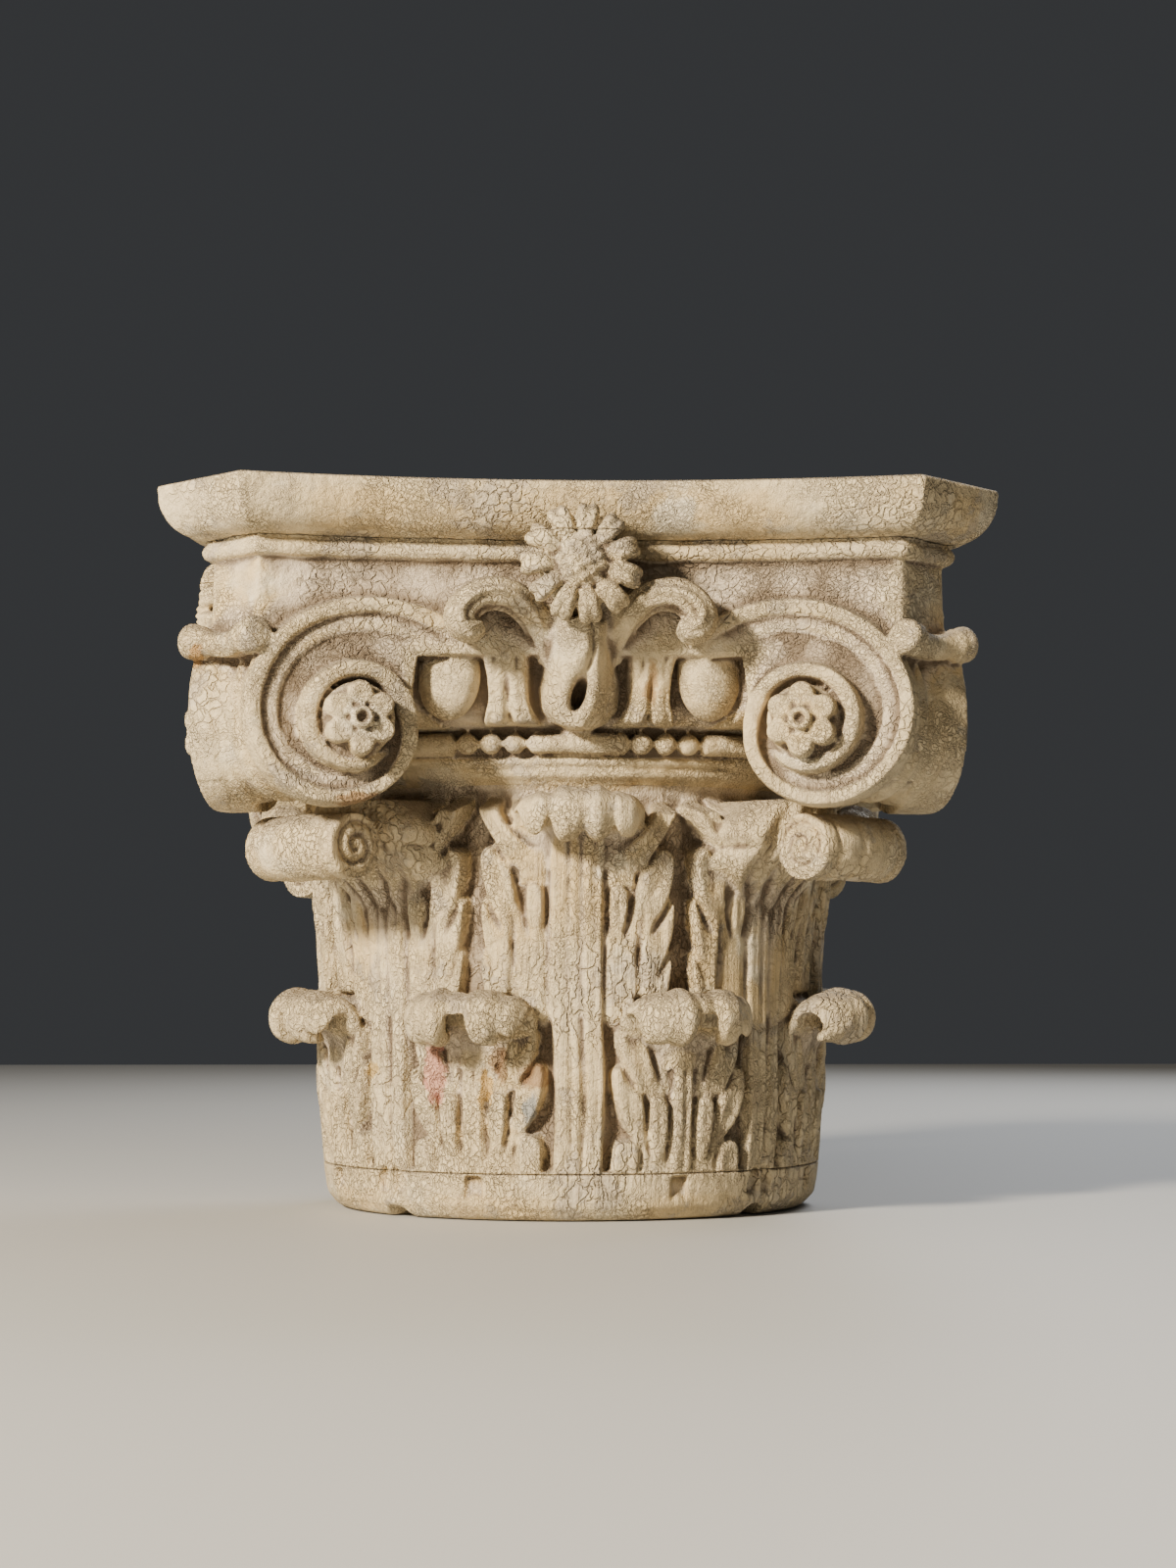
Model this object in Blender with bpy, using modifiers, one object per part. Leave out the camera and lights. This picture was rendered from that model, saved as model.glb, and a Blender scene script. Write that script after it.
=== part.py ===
"""A column capital of carved and painted wood, with acanthus leaves, corner volutes and egg and dart.

It is laid up from three pieces: a base ring, the carved body, and the moulded top board. Open glue
joints part them, and the carving runs across the joints, so each piece is one blank joined with the
carving and then sawn off at its joints. Units are metres, +Z is up, and the front looks along -Y.
The origin is the centre of the underside.
"""

from math import atan2, cos, degrees, pi, radians, sin, sqrt

import bmesh
import bpy
from mathutils import Matrix, Vector

# Heights, from the underside up
BASE_BOARD = 0.0235
BELL_RISE = 0.1995
NECK_FILLET_RISE = 0.0095
BEAD_RADIUS = 0.0065
ECHINUS_RISE = 0.0370
ABACUS_RISE = 0.0555
TOP_BOARD = 0.0270
JOINT_GAP = 0.0003

# Turned radii of the ground behind the carving
FOOT_RADIUS = 0.1240
BORDER_RADIUS = 0.1315
BELL_LOW_RADIUS = 0.1275
BELL_MID_RADIUS = 0.1305
BELL_TOP_RADIUS = 0.1330
NECK_RADIUS = 0.1400
BEAD_BED_RADIUS = 0.1390
EGG_BED_RADIUS = 0.1440
BAND_RADIUS = 0.1500
LEAF_RELIEF = 0.0075
FOOT_RELIEF = 0.0055
BORDER_RISE = 0.0100
LEAF_FOOT = 0.0085

# Plan of the abacus: half the side, the reach to its front, and how far the side curves in
BODY_HALF_SIDE = 0.1570
BODY_REACH = 0.1835
BOARD_HALF_SIDE = 0.1630
BOARD_REACH = 0.2100
SIDE_SAG = 0.0220
FILLET_RISE = 0.0105
FILLET_OUT = 0.0050

# Volutes, measured on the flat face that each spiral is carved on
EYE_ACROSS = 0.1070
EYE_OUT = 0.1720
EYE_RISE = 0.0015
VOLUTE_RADIUS = 0.0610
FACE_TURN = radians(14)
RIM_WIDTH = 0.0100
RIM_RELIEF = 0.0080
COIL_RELIEF = 0.0160
ROSETTE_RADIUS = 0.0175
ROSETTE_RELIEF = 0.0340
BAND_HOLLOW = 0.13

# Leaves and their curled tips
TIP_THICKNESS = 0.0062
LOW_TIP_RISE = 0.0780
LOW_TIP_OUT = 0.1545
LOW_TIP_RADIUS = 0.0125
LOW_TIP_HALF_WIDTH = 0.0340
HIGH_TIP_DROP = 0.0210
HIGH_TIP_OUT = 0.1560
HIGH_TIP_RADIUS = 0.0120
HIGH_TIP_HALF_WIDTH = 0.0360
CORNER_TIP_DROP = 0.0360
CORNER_TIP_OUT = 0.1940
CORNER_TIP_RADIUS = 0.0135
CORNER_TIP_HALF_WIDTH = 0.0340
CORNER_LEAF_RISE = 0.0400
HIGH_STEM_HALF_WIDTH = 0.0130
LOW_STEM_HALF_WIDTH = 0.0080

# Ornament on each side of the head
FLOWER_DROP = 0.0190
FLOWER_RADIUS = 0.0300
FLOWER_OUT = 0.1960
FLOWER_DOME_RADIUS = 0.0150
FLOWER_DOME_RELIEF = 0.0130
PETAL_DEPTH = 0.0160
SCROLL_SPAN = 0.0585
SCROLL_RISE = 0.0270
SCROLL_RADIUS = 0.0085
SCROLL_OUT = 0.0130
HUSK_HALF_WIDTH = 0.0200
HUSK_OUT = 0.1680
EGG_HALF_WIDTH = 0.0145
EGG_RELIEF = 0.0135
EGG_ANGLE = radians(23.5)
DART_HALF_WIDTH = 0.0125
DART_RELIEF = 0.0085
DART_ANGLE = radians(11.9)
BEAD_ANGLES = [radians(a) for a in (14.5, 19.6, 24.7)]
CORNER_ROLL_RADIUS = 0.0090
CORNER_ROLL_WAIST = 0.0052
CORNER_ROLL_HALF_LENGTH = 0.0270
CORNER_ROLL_OUT = 0.2475
NOTCH_RADIUS = 0.0090
NOTCH_RISE = 0.0055
NOTCH_DEPTH = 0.0180

# Fineness of the facets
TURN_STEPS = 48
SIDE_STEPS = 8
BASE_FACETS_KEPT = 0.30
BODY_FACETS_KEPT = 0.22

JOINT_LOW = BASE_BOARD
NECK_Z = JOINT_LOW + BELL_RISE
BEAD_Z = NECK_Z + NECK_FILLET_RISE
EGG_Z = BEAD_Z + 2 * BEAD_RADIUS
BAND_Z = EGG_Z + ECHINUS_RISE
JOINT_HIGH = BAND_Z + ABACUS_RISE
HEIGHT = JOINT_HIGH + TOP_BOARD
EYE_HEIGHT = EGG_Z + EYE_RISE
FLOWER_HEIGHT = JOINT_HIGH - FLOWER_DROP
LOW_TIP_HEIGHT = JOINT_LOW + LOW_TIP_RISE
HIGH_TIP_HEIGHT = NECK_Z - HIGH_TIP_DROP
CORNER_TIP_HEIGHT = NECK_Z - CORNER_TIP_DROP

SINK = 0.0060
HALF_PITCH = pi / 8
SIDES = range(4)


# Scene set-up

def clear_scene():
    for obj in list(bpy.data.objects):
        bpy.data.objects.remove(obj, do_unlink=True)


def new_collection(name):
    collection = bpy.data.collections.new(name)
    bpy.context.scene.collection.children.link(collection)
    return collection


def paint(name, colour, roughness):
    material = bpy.data.materials.new(name)
    material.use_nodes = True
    shader = material.node_tree.nodes["Principled BSDF"]
    shader.inputs["Base Color"].default_value = (*colour, 1.0)
    shader.inputs["Roughness"].default_value = roughness
    shader.inputs["Metallic"].default_value = 0.0
    return material


def hide_as_cutter(obj):
    obj.hide_render = True
    obj.display_type = "WIRE"
    return obj


# Mesh building

def object_from(bm, name, collection):
    bmesh.ops.recalc_face_normals(bm, faces=bm.faces)
    if bm.calc_volume(signed=True) < 0:
        bmesh.ops.reverse_faces(bm, faces=bm.faces)
    mesh = bpy.data.meshes.new(name)
    bm.to_mesh(mesh)
    bm.free()
    obj = bpy.data.objects.new(name, mesh)
    collection.objects.link(obj)
    return obj


def loft(name, rings, collection):
    """A closed solid through rings of equally many points, capped at both ends."""
    bm = bmesh.new()
    rows = [[bm.verts.new(point) for point in ring] for ring in rings]
    count = len(rows[0])
    for low, high in zip(rows, rows[1:]):
        for i in range(count):
            j = (i + 1) % count
            bm.faces.new((low[i], low[j], high[j], high[i]))
    bm.faces.new(reversed(rows[0]))
    bm.faces.new(rows[-1])
    bmesh.ops.triangulate(bm, faces=bm.faces)
    return object_from(bm, name, collection)


def turned(name, profile, collection):
    """A profile of (radius, height) points, listed from the top down, turned about Z."""
    mesh = bpy.data.meshes.new(name)
    points = [(radius, 0.0, z) for radius, z in profile]
    mesh.from_pydata(points, [(i, i + 1) for i in range(len(points) - 1)], [])
    obj = bpy.data.objects.new(name, mesh)
    collection.objects.link(obj)
    screw = obj.modifiers.new("Turn", "SCREW")
    screw.steps = screw.render_steps = TURN_STEPS
    screw.use_merge_vertices = True
    screw.merge_threshold = 0.00005
    return obj


def slab(name, low, high, collection):
    """A wide box between two heights, which keeps one layer of the lay-up."""
    half = 2 * BOARD_REACH
    bpy.ops.mesh.primitive_cube_add(size=1, location=(0, 0, (low + high) / 2))
    obj = bpy.context.active_object
    obj.name = name
    obj.scale = (2 * half, 2 * half, high - low)
    bpy.ops.object.transform_apply(location=False, rotation=False, scale=True)
    for old in list(obj.users_collection):
        old.objects.unlink(obj)
    collection.objects.link(obj)
    return hide_as_cutter(obj)


def thin_out(obj, ratio):
    """Fewer facets where the carving's pieces cross each other."""
    step = obj.modifiers.new("Thin out", "DECIMATE")
    step.ratio = ratio


def add_boolean(obj, operation, collection=None, cutter=None, solver="EXACT"):
    step = obj.modifiers.new(operation.title(), "BOOLEAN")
    step.operation = operation
    step.solver = solver
    if collection:
        step.operand_type = "COLLECTION"
        step.collection = collection
    else:
        step.object = cutter


# Places on the capital

def at_angle(angle, radius, z):
    """A point at this angle from the front, counted towards +X."""
    return Vector((radius * sin(angle), -radius * cos(angle), z))


def turned_side(side):
    return Matrix.Rotation(side * pi / 2, 4, "Z")


def ground_profile():
    """The ground behind the carving, from the underside up, as (radius, height)."""
    border_round = BORDER_RADIUS - FOOT_RADIUS
    bead_height = 2 * BEAD_RADIUS
    return [
        (FOOT_RADIUS, 0.0),
        (BORDER_RADIUS - 0.25 * border_round, 0.4 * BORDER_RISE),
        (BORDER_RADIUS, 0.8 * BORDER_RISE),
        (BORDER_RADIUS, BORDER_RISE),
        (BELL_LOW_RADIUS, 1.3 * BORDER_RISE),
        (BELL_LOW_RADIUS, JOINT_LOW),
        (BELL_MID_RADIUS, JOINT_LOW + 0.25 * BELL_RISE),
        (BELL_MID_RADIUS, JOINT_LOW + 0.55 * BELL_RISE),
        (BELL_TOP_RADIUS, JOINT_LOW + 0.80 * BELL_RISE),
        (BELL_TOP_RADIUS, NECK_Z - 0.04 * BELL_RISE),
        (NECK_RADIUS, NECK_Z),
        (NECK_RADIUS, BEAD_Z),
        (BEAD_BED_RADIUS + 0.6 * BEAD_RADIUS, BEAD_Z + 0.25 * bead_height),
        (BEAD_BED_RADIUS + 0.6 * BEAD_RADIUS, BEAD_Z + 0.75 * bead_height),
        (BEAD_BED_RADIUS, EGG_Z),
        (EGG_BED_RADIUS, EGG_Z + 0.5 * ECHINUS_RISE),
        (BAND_RADIUS, BAND_Z),
        (BAND_RADIUS, BAND_Z + 0.5 * ABACUS_RISE),
    ]


def ground_radius(z):
    """The ground's radius at a height, read between the points of its profile."""
    profile = ground_profile()
    for (r0, z0), (r1, z1) in zip(profile, profile[1:]):
        if z <= z1:
            return r0 + (r1 - r0) * max(0.0, z - z0) / (z1 - z0)
    return profile[-1][0]


def abacus_outline(half_side, reach, z):
    """The plan of the abacus: four sides that curve in, joined by cut corners."""
    ring = []
    for side in SIDES:
        turn = turned_side(side)
        for step in range(SIDE_STEPS + 1):
            x = half_side * (2 * step / SIDE_STEPS - 1)
            out = reach - SIDE_SAG * (1 - (x / half_side) ** 2)
            ring.append(turn @ Vector((x, -out, z)))
    return ring


def spiral_radius(angle):
    """The outer edge of the volute, at an angle in degrees counted from the side next to the flower."""
    turns = (28, 60, 90, 180, 270, 360, 540, 630, 720)
    shares = (1.25, 1.08, 1.0, 0.87, 0.68, 0.49, 0.49, 0.37, 0.31)
    for a0, a1, s0, s1 in zip(turns, turns[1:], shares, shares[1:]):
        if angle <= a1:
            return VOLUTE_RADIUS * (s0 + (s1 - s0) * max(0.0, angle - a0) / (a1 - a0))
    return VOLUTE_RADIUS * shares[-1]


def face_point(radius, angle, relief):
    """A point of the front left volute, by its distance and angle from the eye and its relief."""
    across = Vector((-cos(FACE_TURN), -sin(FACE_TURN), 0))
    outward = Vector((sin(FACE_TURN), -cos(FACE_TURN), 0))
    eye = Vector((-EYE_ACROSS, -EYE_OUT, EYE_HEIGHT))
    turn = radians(angle)
    return eye - across * radius * cos(turn) + Vector((0, 0, radius * sin(turn))) + outward * relief


def over_diagonal(point):
    """The mirror image across the front left diagonal."""
    return Vector((point.y, point.x, point.z))


def mirrored(point):
    return Vector((-point.x, point.y, point.z))


# Mouldings

def abacus_block(collection):
    """The part of the abacus that belongs to the body: its face and the fillet under the top board."""
    top = JOINT_HIGH + 0.5 * TOP_BOARD
    fillet = JOINT_HIGH - FILLET_RISE
    step = fillet + 0.05 * FILLET_RISE
    levels = [(0.0, BAND_Z), (0.0, fillet), (FILLET_OUT, step), (FILLET_OUT, top)]
    rings = [abacus_outline(BODY_HALF_SIDE, BODY_REACH + out, z) for out, z in levels]
    return loft("abacus_block", rings, collection)


def top_board_blank(collection):
    """The top board, moulded with a quarter round that swells up and out from the joint."""
    rings = []
    for share in (-0.2, 0.0, 0.35, 0.65, 0.88, 1.0):
        swell = sin(max(0.0, share) * pi / 2)
        rise = 1 - cos(max(0.0, share) * pi / 2)
        half_side = BODY_HALF_SIDE + (BOARD_HALF_SIDE - BODY_HALF_SIDE) * swell
        reach = BODY_REACH + FILLET_OUT + (BOARD_REACH - BODY_REACH - FILLET_OUT) * swell
        z = JOINT_HIGH + 0.93 * TOP_BOARD * rise + min(0.0, share) * TOP_BOARD
        rings.append(abacus_outline(half_side, reach, z))
    edge_round = 0.05 * TOP_BOARD
    rings.append(abacus_outline(BOARD_HALF_SIDE - 0.4 * edge_round, BOARD_REACH - edge_round, HEIGHT))
    return loft("top_board", rings, collection)


def volute_pair(side, collection):
    """The block behind two volutes that share a corner, hollowed along the edge between them."""
    turn = turned_side(side)
    edge = [(spiral_radius(angle), angle) for angle in range(28, 350, 24)]
    inner = spiral_radius(360)
    edge += [(inner, 375), (1.55 * inner, 408)]
    rings = []
    for across, shrink in ((0, 1), (0.16, 1), (0.34, 1 - BAND_HOLLOW), (0.66, 1 - BAND_HOLLOW),
                           (0.84, 1), (1, 1)):
        ring = []
        for radius, angle in edge:
            front = face_point(radius * shrink, angle, 0)
            ring.append(turn @ front.lerp(over_diagonal(front), across))
        rings.append(ring)
    return loft(f"volute_pair_{side}", rings, collection)


def volute_faces(name, place, collection):
    """The rim, the raised inner coil and the rosette of one volute, put in place by a function."""
    def ridge(angle, width, relief):
        edge = spiral_radius(angle)
        slope = 0.12 * width
        section = ((edge, -SINK), (edge - slope, relief), (edge - width, relief), (edge - width - slope, -SINK))
        return [place(face_point(radius, angle, height)) for radius, height in section]

    rim = [ridge(28 + 23 * step, RIM_WIDTH, RIM_RELIEF) for step in range(16)]
    loft(f"{name}_rim", rim, collection)

    coil_edge = spiral_radius(450)
    sections = ((coil_edge, -SINK), (coil_edge, COIL_RELIEF), (coil_edge - RIM_WIDTH, COIL_RELIEF),
                (coil_edge - 1.2 * RIM_WIDTH, 0.6 * COIL_RELIEF))
    rings = [
        [place(face_point(radius * (1 - 0.06 * sin(radians(a))), a, height)) for a in range(0, 360, 26)]
        for radius, height in sections
    ]
    loft(f"{name}_coil", rings, collection)

    petals = range(0, 360, 30)
    sections = ((1.0, 0.0, 0.0), (1.0, 0.22, 0.72), (0.55, 0.05, 1.0), (0.30, 0.0, 0.80))
    rings = []
    for share, notch, rise in sections:
        ring = []
        for a in petals:
            radius = ROSETTE_RADIUS * share * (1 - (notch if a % 60 else 0.0))
            ring.append(place(face_point(radius, a, ROSETTE_RELIEF * rise)))
        rings.append(ring)
    loft(f"{name}_rosette", rings, collection)


def corner_roll(side, collection):
    """The little scroll that lies across the corner above the volutes, thick at both ends."""
    turn = turned_side(side)
    top = EYE_HEIGHT + 0.66 * VOLUTE_RADIUS
    middle = Vector((-1, -1, 0)).normalized() * CORNER_ROLL_OUT + Vector((0, 0, top))
    along = Vector((1, -1, 0)).normalized()
    outward = Vector((-1, -1, 0)).normalized()
    half = CORNER_ROLL_HALF_LENGTH
    rings = []
    for share, radius in ((-1, 0.8), (-0.92, 1), (-0.62, 1), (-0.42, 0), (0.42, 0), (0.62, 1),
                          (0.92, 1), (1, 0.8)):
        thick = CORNER_ROLL_RADIUS * radius if radius else CORNER_ROLL_WAIST
        centre = middle + along * half * share
        ring = [
            turn @ (centre + outward * thick * cos(a * pi / 4) + Vector((0, 0, thick * sin(a * pi / 4))))
            for a in range(8)
        ]
        rings.append(ring)
    loft(f"corner_roll_{side}", rings, collection)
    stalk = []
    for depth, wide in ((5.0, 0.66), (-0.1, 0.58)):
        base = middle - outward * depth * CORNER_ROLL_RADIUS
        corners = ((-1, -1.0), (1, -1.0), (1, 0.35), (-1, 0.35))
        stalk.append([
            turn @ (base + along * w * wide * half + Vector((0, 0, z * CORNER_ROLL_RADIUS))) for w, z in corners
        ])
    loft(f"corner_stalk_{side}", stalk, collection)


# Leaves

def leaf_sheet(name, angle, margin, stem_half, collection):
    """The carved sheet of a leaf on the bell. The margin lists (height, half width), out at each finger
    and in at each notch between two fingers. The stem has two ribs, with a groove along each side."""
    rings = []
    for z, half in margin:
        base = ground_radius(max(z, JOINT_LOW))
        relief = LEAF_RELIEF if z > JOINT_LOW else FOOT_RELIEF
        groove = min(1.25 * stem_half, 0.5 * (stem_half + half))
        right = ((0.0, 0.60), (0.55 * stem_half, 1.15), (groove, 0.40), (0.6 * (groove + half), 1.0), (half, 0.7))
        section = [(half, -1.0)] + list(reversed(right))
        section += [(-x, rise) for x, rise in right[1:]] + [(-half, -1.0)]
        rings.append([at_angle(angle + x / BELL_MID_RADIUS, base + rise * relief, z) for x, rise in section])
    return loft(name, rings, collection)


def curled_tip(name, angle, path, sweep, collection):
    """A leaf's upper end, which leaves the bell and rolls over. The path holds (out, height, heading, half width)."""
    rings = []
    reach = max(out for out, _, _, _ in path)
    start = path[0][0]
    for out, z, heading, half in path:
        normal = (-sin(heading), cos(heading))
        back = sweep * max(0.0, out - start) / (reach - start)
        section = ((-1, 0), (-0.6, 0.5), (0.6, 0.5), (1, 0), (0.6, -0.5), (-0.6, -0.5))
        ring = []
        for wide, thick in section:
            radius = out + normal[0] * thick * TIP_THICKNESS - back * wide * wide
            height = z + normal[1] * thick * TIP_THICKNESS
            spot = at_angle(angle, radius, height)
            ring.append(spot + Vector((cos(angle), sin(angle), 0)) * wide * half)
        rings.append(ring)
    return loft(name, rings, collection)


def tip_path(foot, centre_out, centre_z, radius, half_width, start_share):
    """A path up the bell from the foot and round the roll, as curled_tip takes it."""
    path = []
    top_of_run = centre_z + 0.1 * radius
    foot_out = ground_radius(foot)
    run_out = centre_out - radius
    for share in (0.0, 0.5, 0.85):
        out = foot_out + (run_out - foot_out) * share ** 2
        z = foot + (top_of_run - foot) * share
        heading = pi / 2 - 0.5 * share * atan2(run_out - foot_out, top_of_run - foot)
        path.append((out, z, heading, half_width * (start_share + (1 - start_share) * share)))
    widths = (1.0, 1.0, 0.98, 0.92, 0.82, 0.68, 0.5)
    for step, share in enumerate(widths):
        turn = pi - step * radians(50)
        path.append((centre_out + radius * cos(turn), centre_z + radius * sin(turn), turn - pi / 2,
                     half_width * share))
    return path


def finger_margin(fingers, bare, stem_half):
    """The outline of a leaf: its bare stem, then each finger's root and tip. Fingers are in shares of the bell."""
    def place(rise, width):
        return JOINT_LOW + rise * BELL_RISE, width * HALF_PITCH * BELL_MID_RADIUS

    margin = [(LEAF_FOOT, 1.35 * stem_half)] + [(place(rise, 0)[0], 1.1 * stem_half) for rise in bare]
    for root, tip, inner, outer in fingers:
        margin += [place(root, inner), place(tip, outer)]
    return margin


def corner_bracket(index, collection):
    """The solid wood behind a corner leaf, from the bell out to the roll below the volutes."""
    angle = index * 2 * HALF_PITCH
    outward = at_angle(angle, 1, 0)
    along = Vector((cos(angle), sin(angle), 0))
    top = EYE_HEIGHT - 0.6 * VOLUTE_RADIUS
    rings = []
    for share, swell in ((0.0, 0.0), (0.3, 0.15), (0.55, 0.45), (0.75, 0.85), (1.0, 0.95)):
        z = CORNER_TIP_HEIGHT - CORNER_LEAF_RISE + share * (top - CORNER_TIP_HEIGHT + CORNER_LEAF_RISE)
        near = ground_radius(z)
        reach = near + swell * (CORNER_TIP_OUT - near)
        half = CORNER_TIP_HALF_WIDTH * (0.55 + 0.40 * share)
        plan = ((-1.5 * half, 0.84 * near), (-half, reach - 0.2 * half), (-0.5 * half, reach), (0.5 * half, reach),
                (half, reach - 0.2 * half), (1.5 * half, 0.84 * near))
        rings.append([outward * out + along * wide + Vector((0, 0, z)) for wide, out in plan])
    loft(f"high_leaf_{index}_bracket", rings, collection)


# Each finger as (root's rise, tip's rise, half width at the root, half width at the tip), in shares
HIGH_FINGERS = [(0.38, 0.59, 0.33, 0.95), (0.60, 0.71, 0.74, 0.96), (0.72, 0.84, 0.72, 0.97), (0.86, 0.92, 0.70, 0.55)]
LOW_FINGERS = [(0.02, 0.10, 0.47, 0.64), (0.11, 0.27, 0.41, 0.68), (0.28, 0.35, 0.47, 0.66), (0.36, 0.40, 0.55, 0.39)]


def high_leaf(index, sheets, tips):
    """A leaf of the upper row. Every second one stands under a corner and rolls out below the volutes."""
    angle = index * 2 * HALF_PITCH
    name = f"high_leaf_{index}"
    margin = finger_margin(HIGH_FINGERS, (0.10,), HIGH_STEM_HALF_WIDTH)
    leaf_sheet(name, angle, margin, HIGH_STEM_HALF_WIDTH, sheets)
    foot = JOINT_LOW + 0.60 * BELL_RISE
    if index % 2:
        path = tip_path(foot, CORNER_TIP_OUT, CORNER_TIP_HEIGHT, CORNER_TIP_RADIUS, CORNER_TIP_HALF_WIDTH, 0.5)
        curled_tip(f"{name}_tip", angle, path, 0.18 * CORNER_TIP_HALF_WIDTH, tips)
        corner_bracket(index, tips)
    else:
        path = tip_path(foot, HIGH_TIP_OUT, HIGH_TIP_HEIGHT, HIGH_TIP_RADIUS, HIGH_TIP_HALF_WIDTH, 0.5)
        curled_tip(f"{name}_tip", angle, path, 0.45 * HIGH_TIP_HALF_WIDTH, tips)


def low_leaf(index, sheets, tips):
    """A leaf of the lower row, which stands between two of the upper row."""
    angle = (2 * index + 1) * HALF_PITCH
    name = f"low_leaf_{index}"
    margin = finger_margin(LOW_FINGERS, (), LOW_STEM_HALF_WIDTH)
    leaf_sheet(name, angle, margin, LOW_STEM_HALF_WIDTH, sheets)
    path = tip_path(JOINT_LOW + 0.17 * BELL_RISE, LOW_TIP_OUT, LOW_TIP_HEIGHT, LOW_TIP_RADIUS,
                    LOW_TIP_HALF_WIDTH, 0.45)
    curled_tip(f"{name}_tip", angle, path, 0.53 * LOW_TIP_HALF_WIDTH, tips)


# Egg and dart, beads, husk, scrolls and flower

def egg(name, angle, collection):
    rings = []
    for share, wide in ((0.0, 0.30), (0.12, 0.62), (0.35, 0.90), (0.70, 1.0), (1.0, 0.95)):
        z = EGG_Z + ECHINUS_RISE * (0.02 + 0.96 * share)
        base = ground_radius(z)
        section = ((-1, -SINK), (-0.85, 0.55), (-0.35, 1), (0.35, 1), (0.85, 0.55), (1, -SINK))
        rings.append([
            at_angle(angle + x * wide * EGG_HALF_WIDTH / base,
                     base + (y if y < 0 else y * wide * EGG_RELIEF), z)
            for x, y in section
        ])
    return loft(name, rings, collection)


def dart(name, angle, collection):
    """The ribbed block between two eggs, a little wider at its foot."""
    rings = []
    for share, wide in ((0.0, 1.12), (0.45, 0.90), (1.0, 1.0)):
        z = EGG_Z + ECHINUS_RISE * (0.02 + 0.96 * share)
        base = ground_radius(z)
        right = ((0.15, 0.6), (0.45, 1.0), (0.95, 0.9))
        section = [(-1, -0.7)] + [(-x, y) for x, y in reversed(right)] + list(right) + [(1, -0.7)]
        rings.append([
            at_angle(angle + x * wide * DART_HALF_WIDTH / base, base + y * DART_RELIEF, z) for x, y in section
        ])
    return loft(name, rings, collection)


def bead(name, angle, collection):
    bm = bmesh.new()
    bmesh.ops.create_uvsphere(bm, u_segments=7, v_segments=5, radius=BEAD_RADIUS)
    bmesh.ops.translate(bm, verts=bm.verts, vec=at_angle(angle, BEAD_BED_RADIUS, BEAD_Z + BEAD_RADIUS))
    return object_from(bm, name, collection)


def husk(side, collection):
    """The swelling leaf in the middle of each side, which takes the place of an egg."""
    turn = turned_side(side)
    rings = []
    for share, wide, out in ((0.0, 0.35, 0.80), (0.10, 0.75, 0.97), (0.35, 1.0, 1.0), (0.65, 0.88, 0.99),
                             (0.85, 0.70, 1.02), (1.2, 0.75, 1.04)):
        z = EGG_Z + ECHINUS_RISE * 1.25 * share
        half = HUSK_HALF_WIDTH * wide
        back = BAND_RADIUS - 2 * SINK
        front = HUSK_OUT * out
        brow = front - 0.4 * HUSK_HALF_WIDTH
        section = ((-1, back), (-0.9, brow), (-0.4, front), (0.4, front), (0.9, brow), (1, back))
        rings.append([turn @ Vector((x * half, -y, z)) for x, y in section])
    return loft(f"husk_{side}", rings, collection)


def scroll(side, hand, collection):
    """The small leaf that springs from the husk beside the flower and curls over outwards."""
    turn = turned_side(side)
    middle_out = BODY_REACH - SIDE_SAG + SCROLL_OUT
    shares = ((0.10, -0.02, 0.82), (0.31, 0.61, 0.88), (0.56, 0.98, 0.94), (0.81, 0.98, 1.0), (0.99, 0.76, 1.0),
              (1.0, 0.44, 0.82), (0.87, 0.30, 0.59))
    path = [(x * SCROLL_SPAN, BAND_Z + z * SCROLL_RISE, thick * SCROLL_RADIUS) for x, z, thick in shares]
    rings = []
    for i, (x, z, thick) in enumerate(path):
        before = Vector(path[max(0, i - 1)][:2])
        after = Vector(path[min(len(path) - 1, i + 1)][:2])
        along = (after - before).normalized()
        across = Vector((-along.y, along.x))
        ring = []
        for step in range(6):
            a = step * pi / 3
            spot = Vector((x, z)) + across * thick * cos(a)
            ring.append(turn @ Vector((hand * spot.x, -(middle_out + 1.5 * thick * sin(a)), spot.y)))
        rings.append(ring)
    return loft(f"scroll_{side}_{'left' if hand < 0 else 'right'}", rings, collection)


def flower(side, collection):
    """The ten-petalled flower on the middle of each side, with a domed centre."""
    turn = turned_side(side)
    count = 20
    face = FLOWER_OUT - 0.25 * PETAL_DEPTH
    sections = ((0.80, 0.0, BODY_REACH - SIDE_SAG - SINK), (0.80, 0.0, face - PETAL_DEPTH),
                (1.0, 0.16, face - 0.4 * PETAL_DEPTH), (0.80, 0.12, face), (0.52, 0.0, face - 0.2 * PETAL_DEPTH))
    rings = []
    for share, notch, out in sections:
        ring = []
        for step in range(count):
            a = 2 * pi * step / count
            radius = FLOWER_RADIUS * share * (1 - (notch if step % 2 else 0.0))
            ring.append(turn @ Vector((radius * sin(a), -out, FLOWER_HEIGHT + radius * cos(a))))
        rings.append(ring)
    loft(f"flower_{side}", rings, collection)
    bm = bmesh.new()
    bmesh.ops.create_uvsphere(bm, u_segments=10, v_segments=6, radius=1)
    bmesh.ops.scale(bm, verts=bm.verts, vec=(FLOWER_DOME_RADIUS, FLOWER_DOME_RADIUS, FLOWER_DOME_RELIEF))
    bmesh.ops.rotate(bm, verts=bm.verts, cent=(0, 0, 0), matrix=Matrix.Rotation(pi / 2, 3, "X"))
    bmesh.ops.translate(bm, verts=bm.verts, vec=(0, -face + 0.2 * PETAL_DEPTH, FLOWER_HEIGHT))
    bmesh.ops.transform(bm, matrix=turn, verts=bm.verts)
    object_from(bm, f"flower_dome_{side}", collection)


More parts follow.
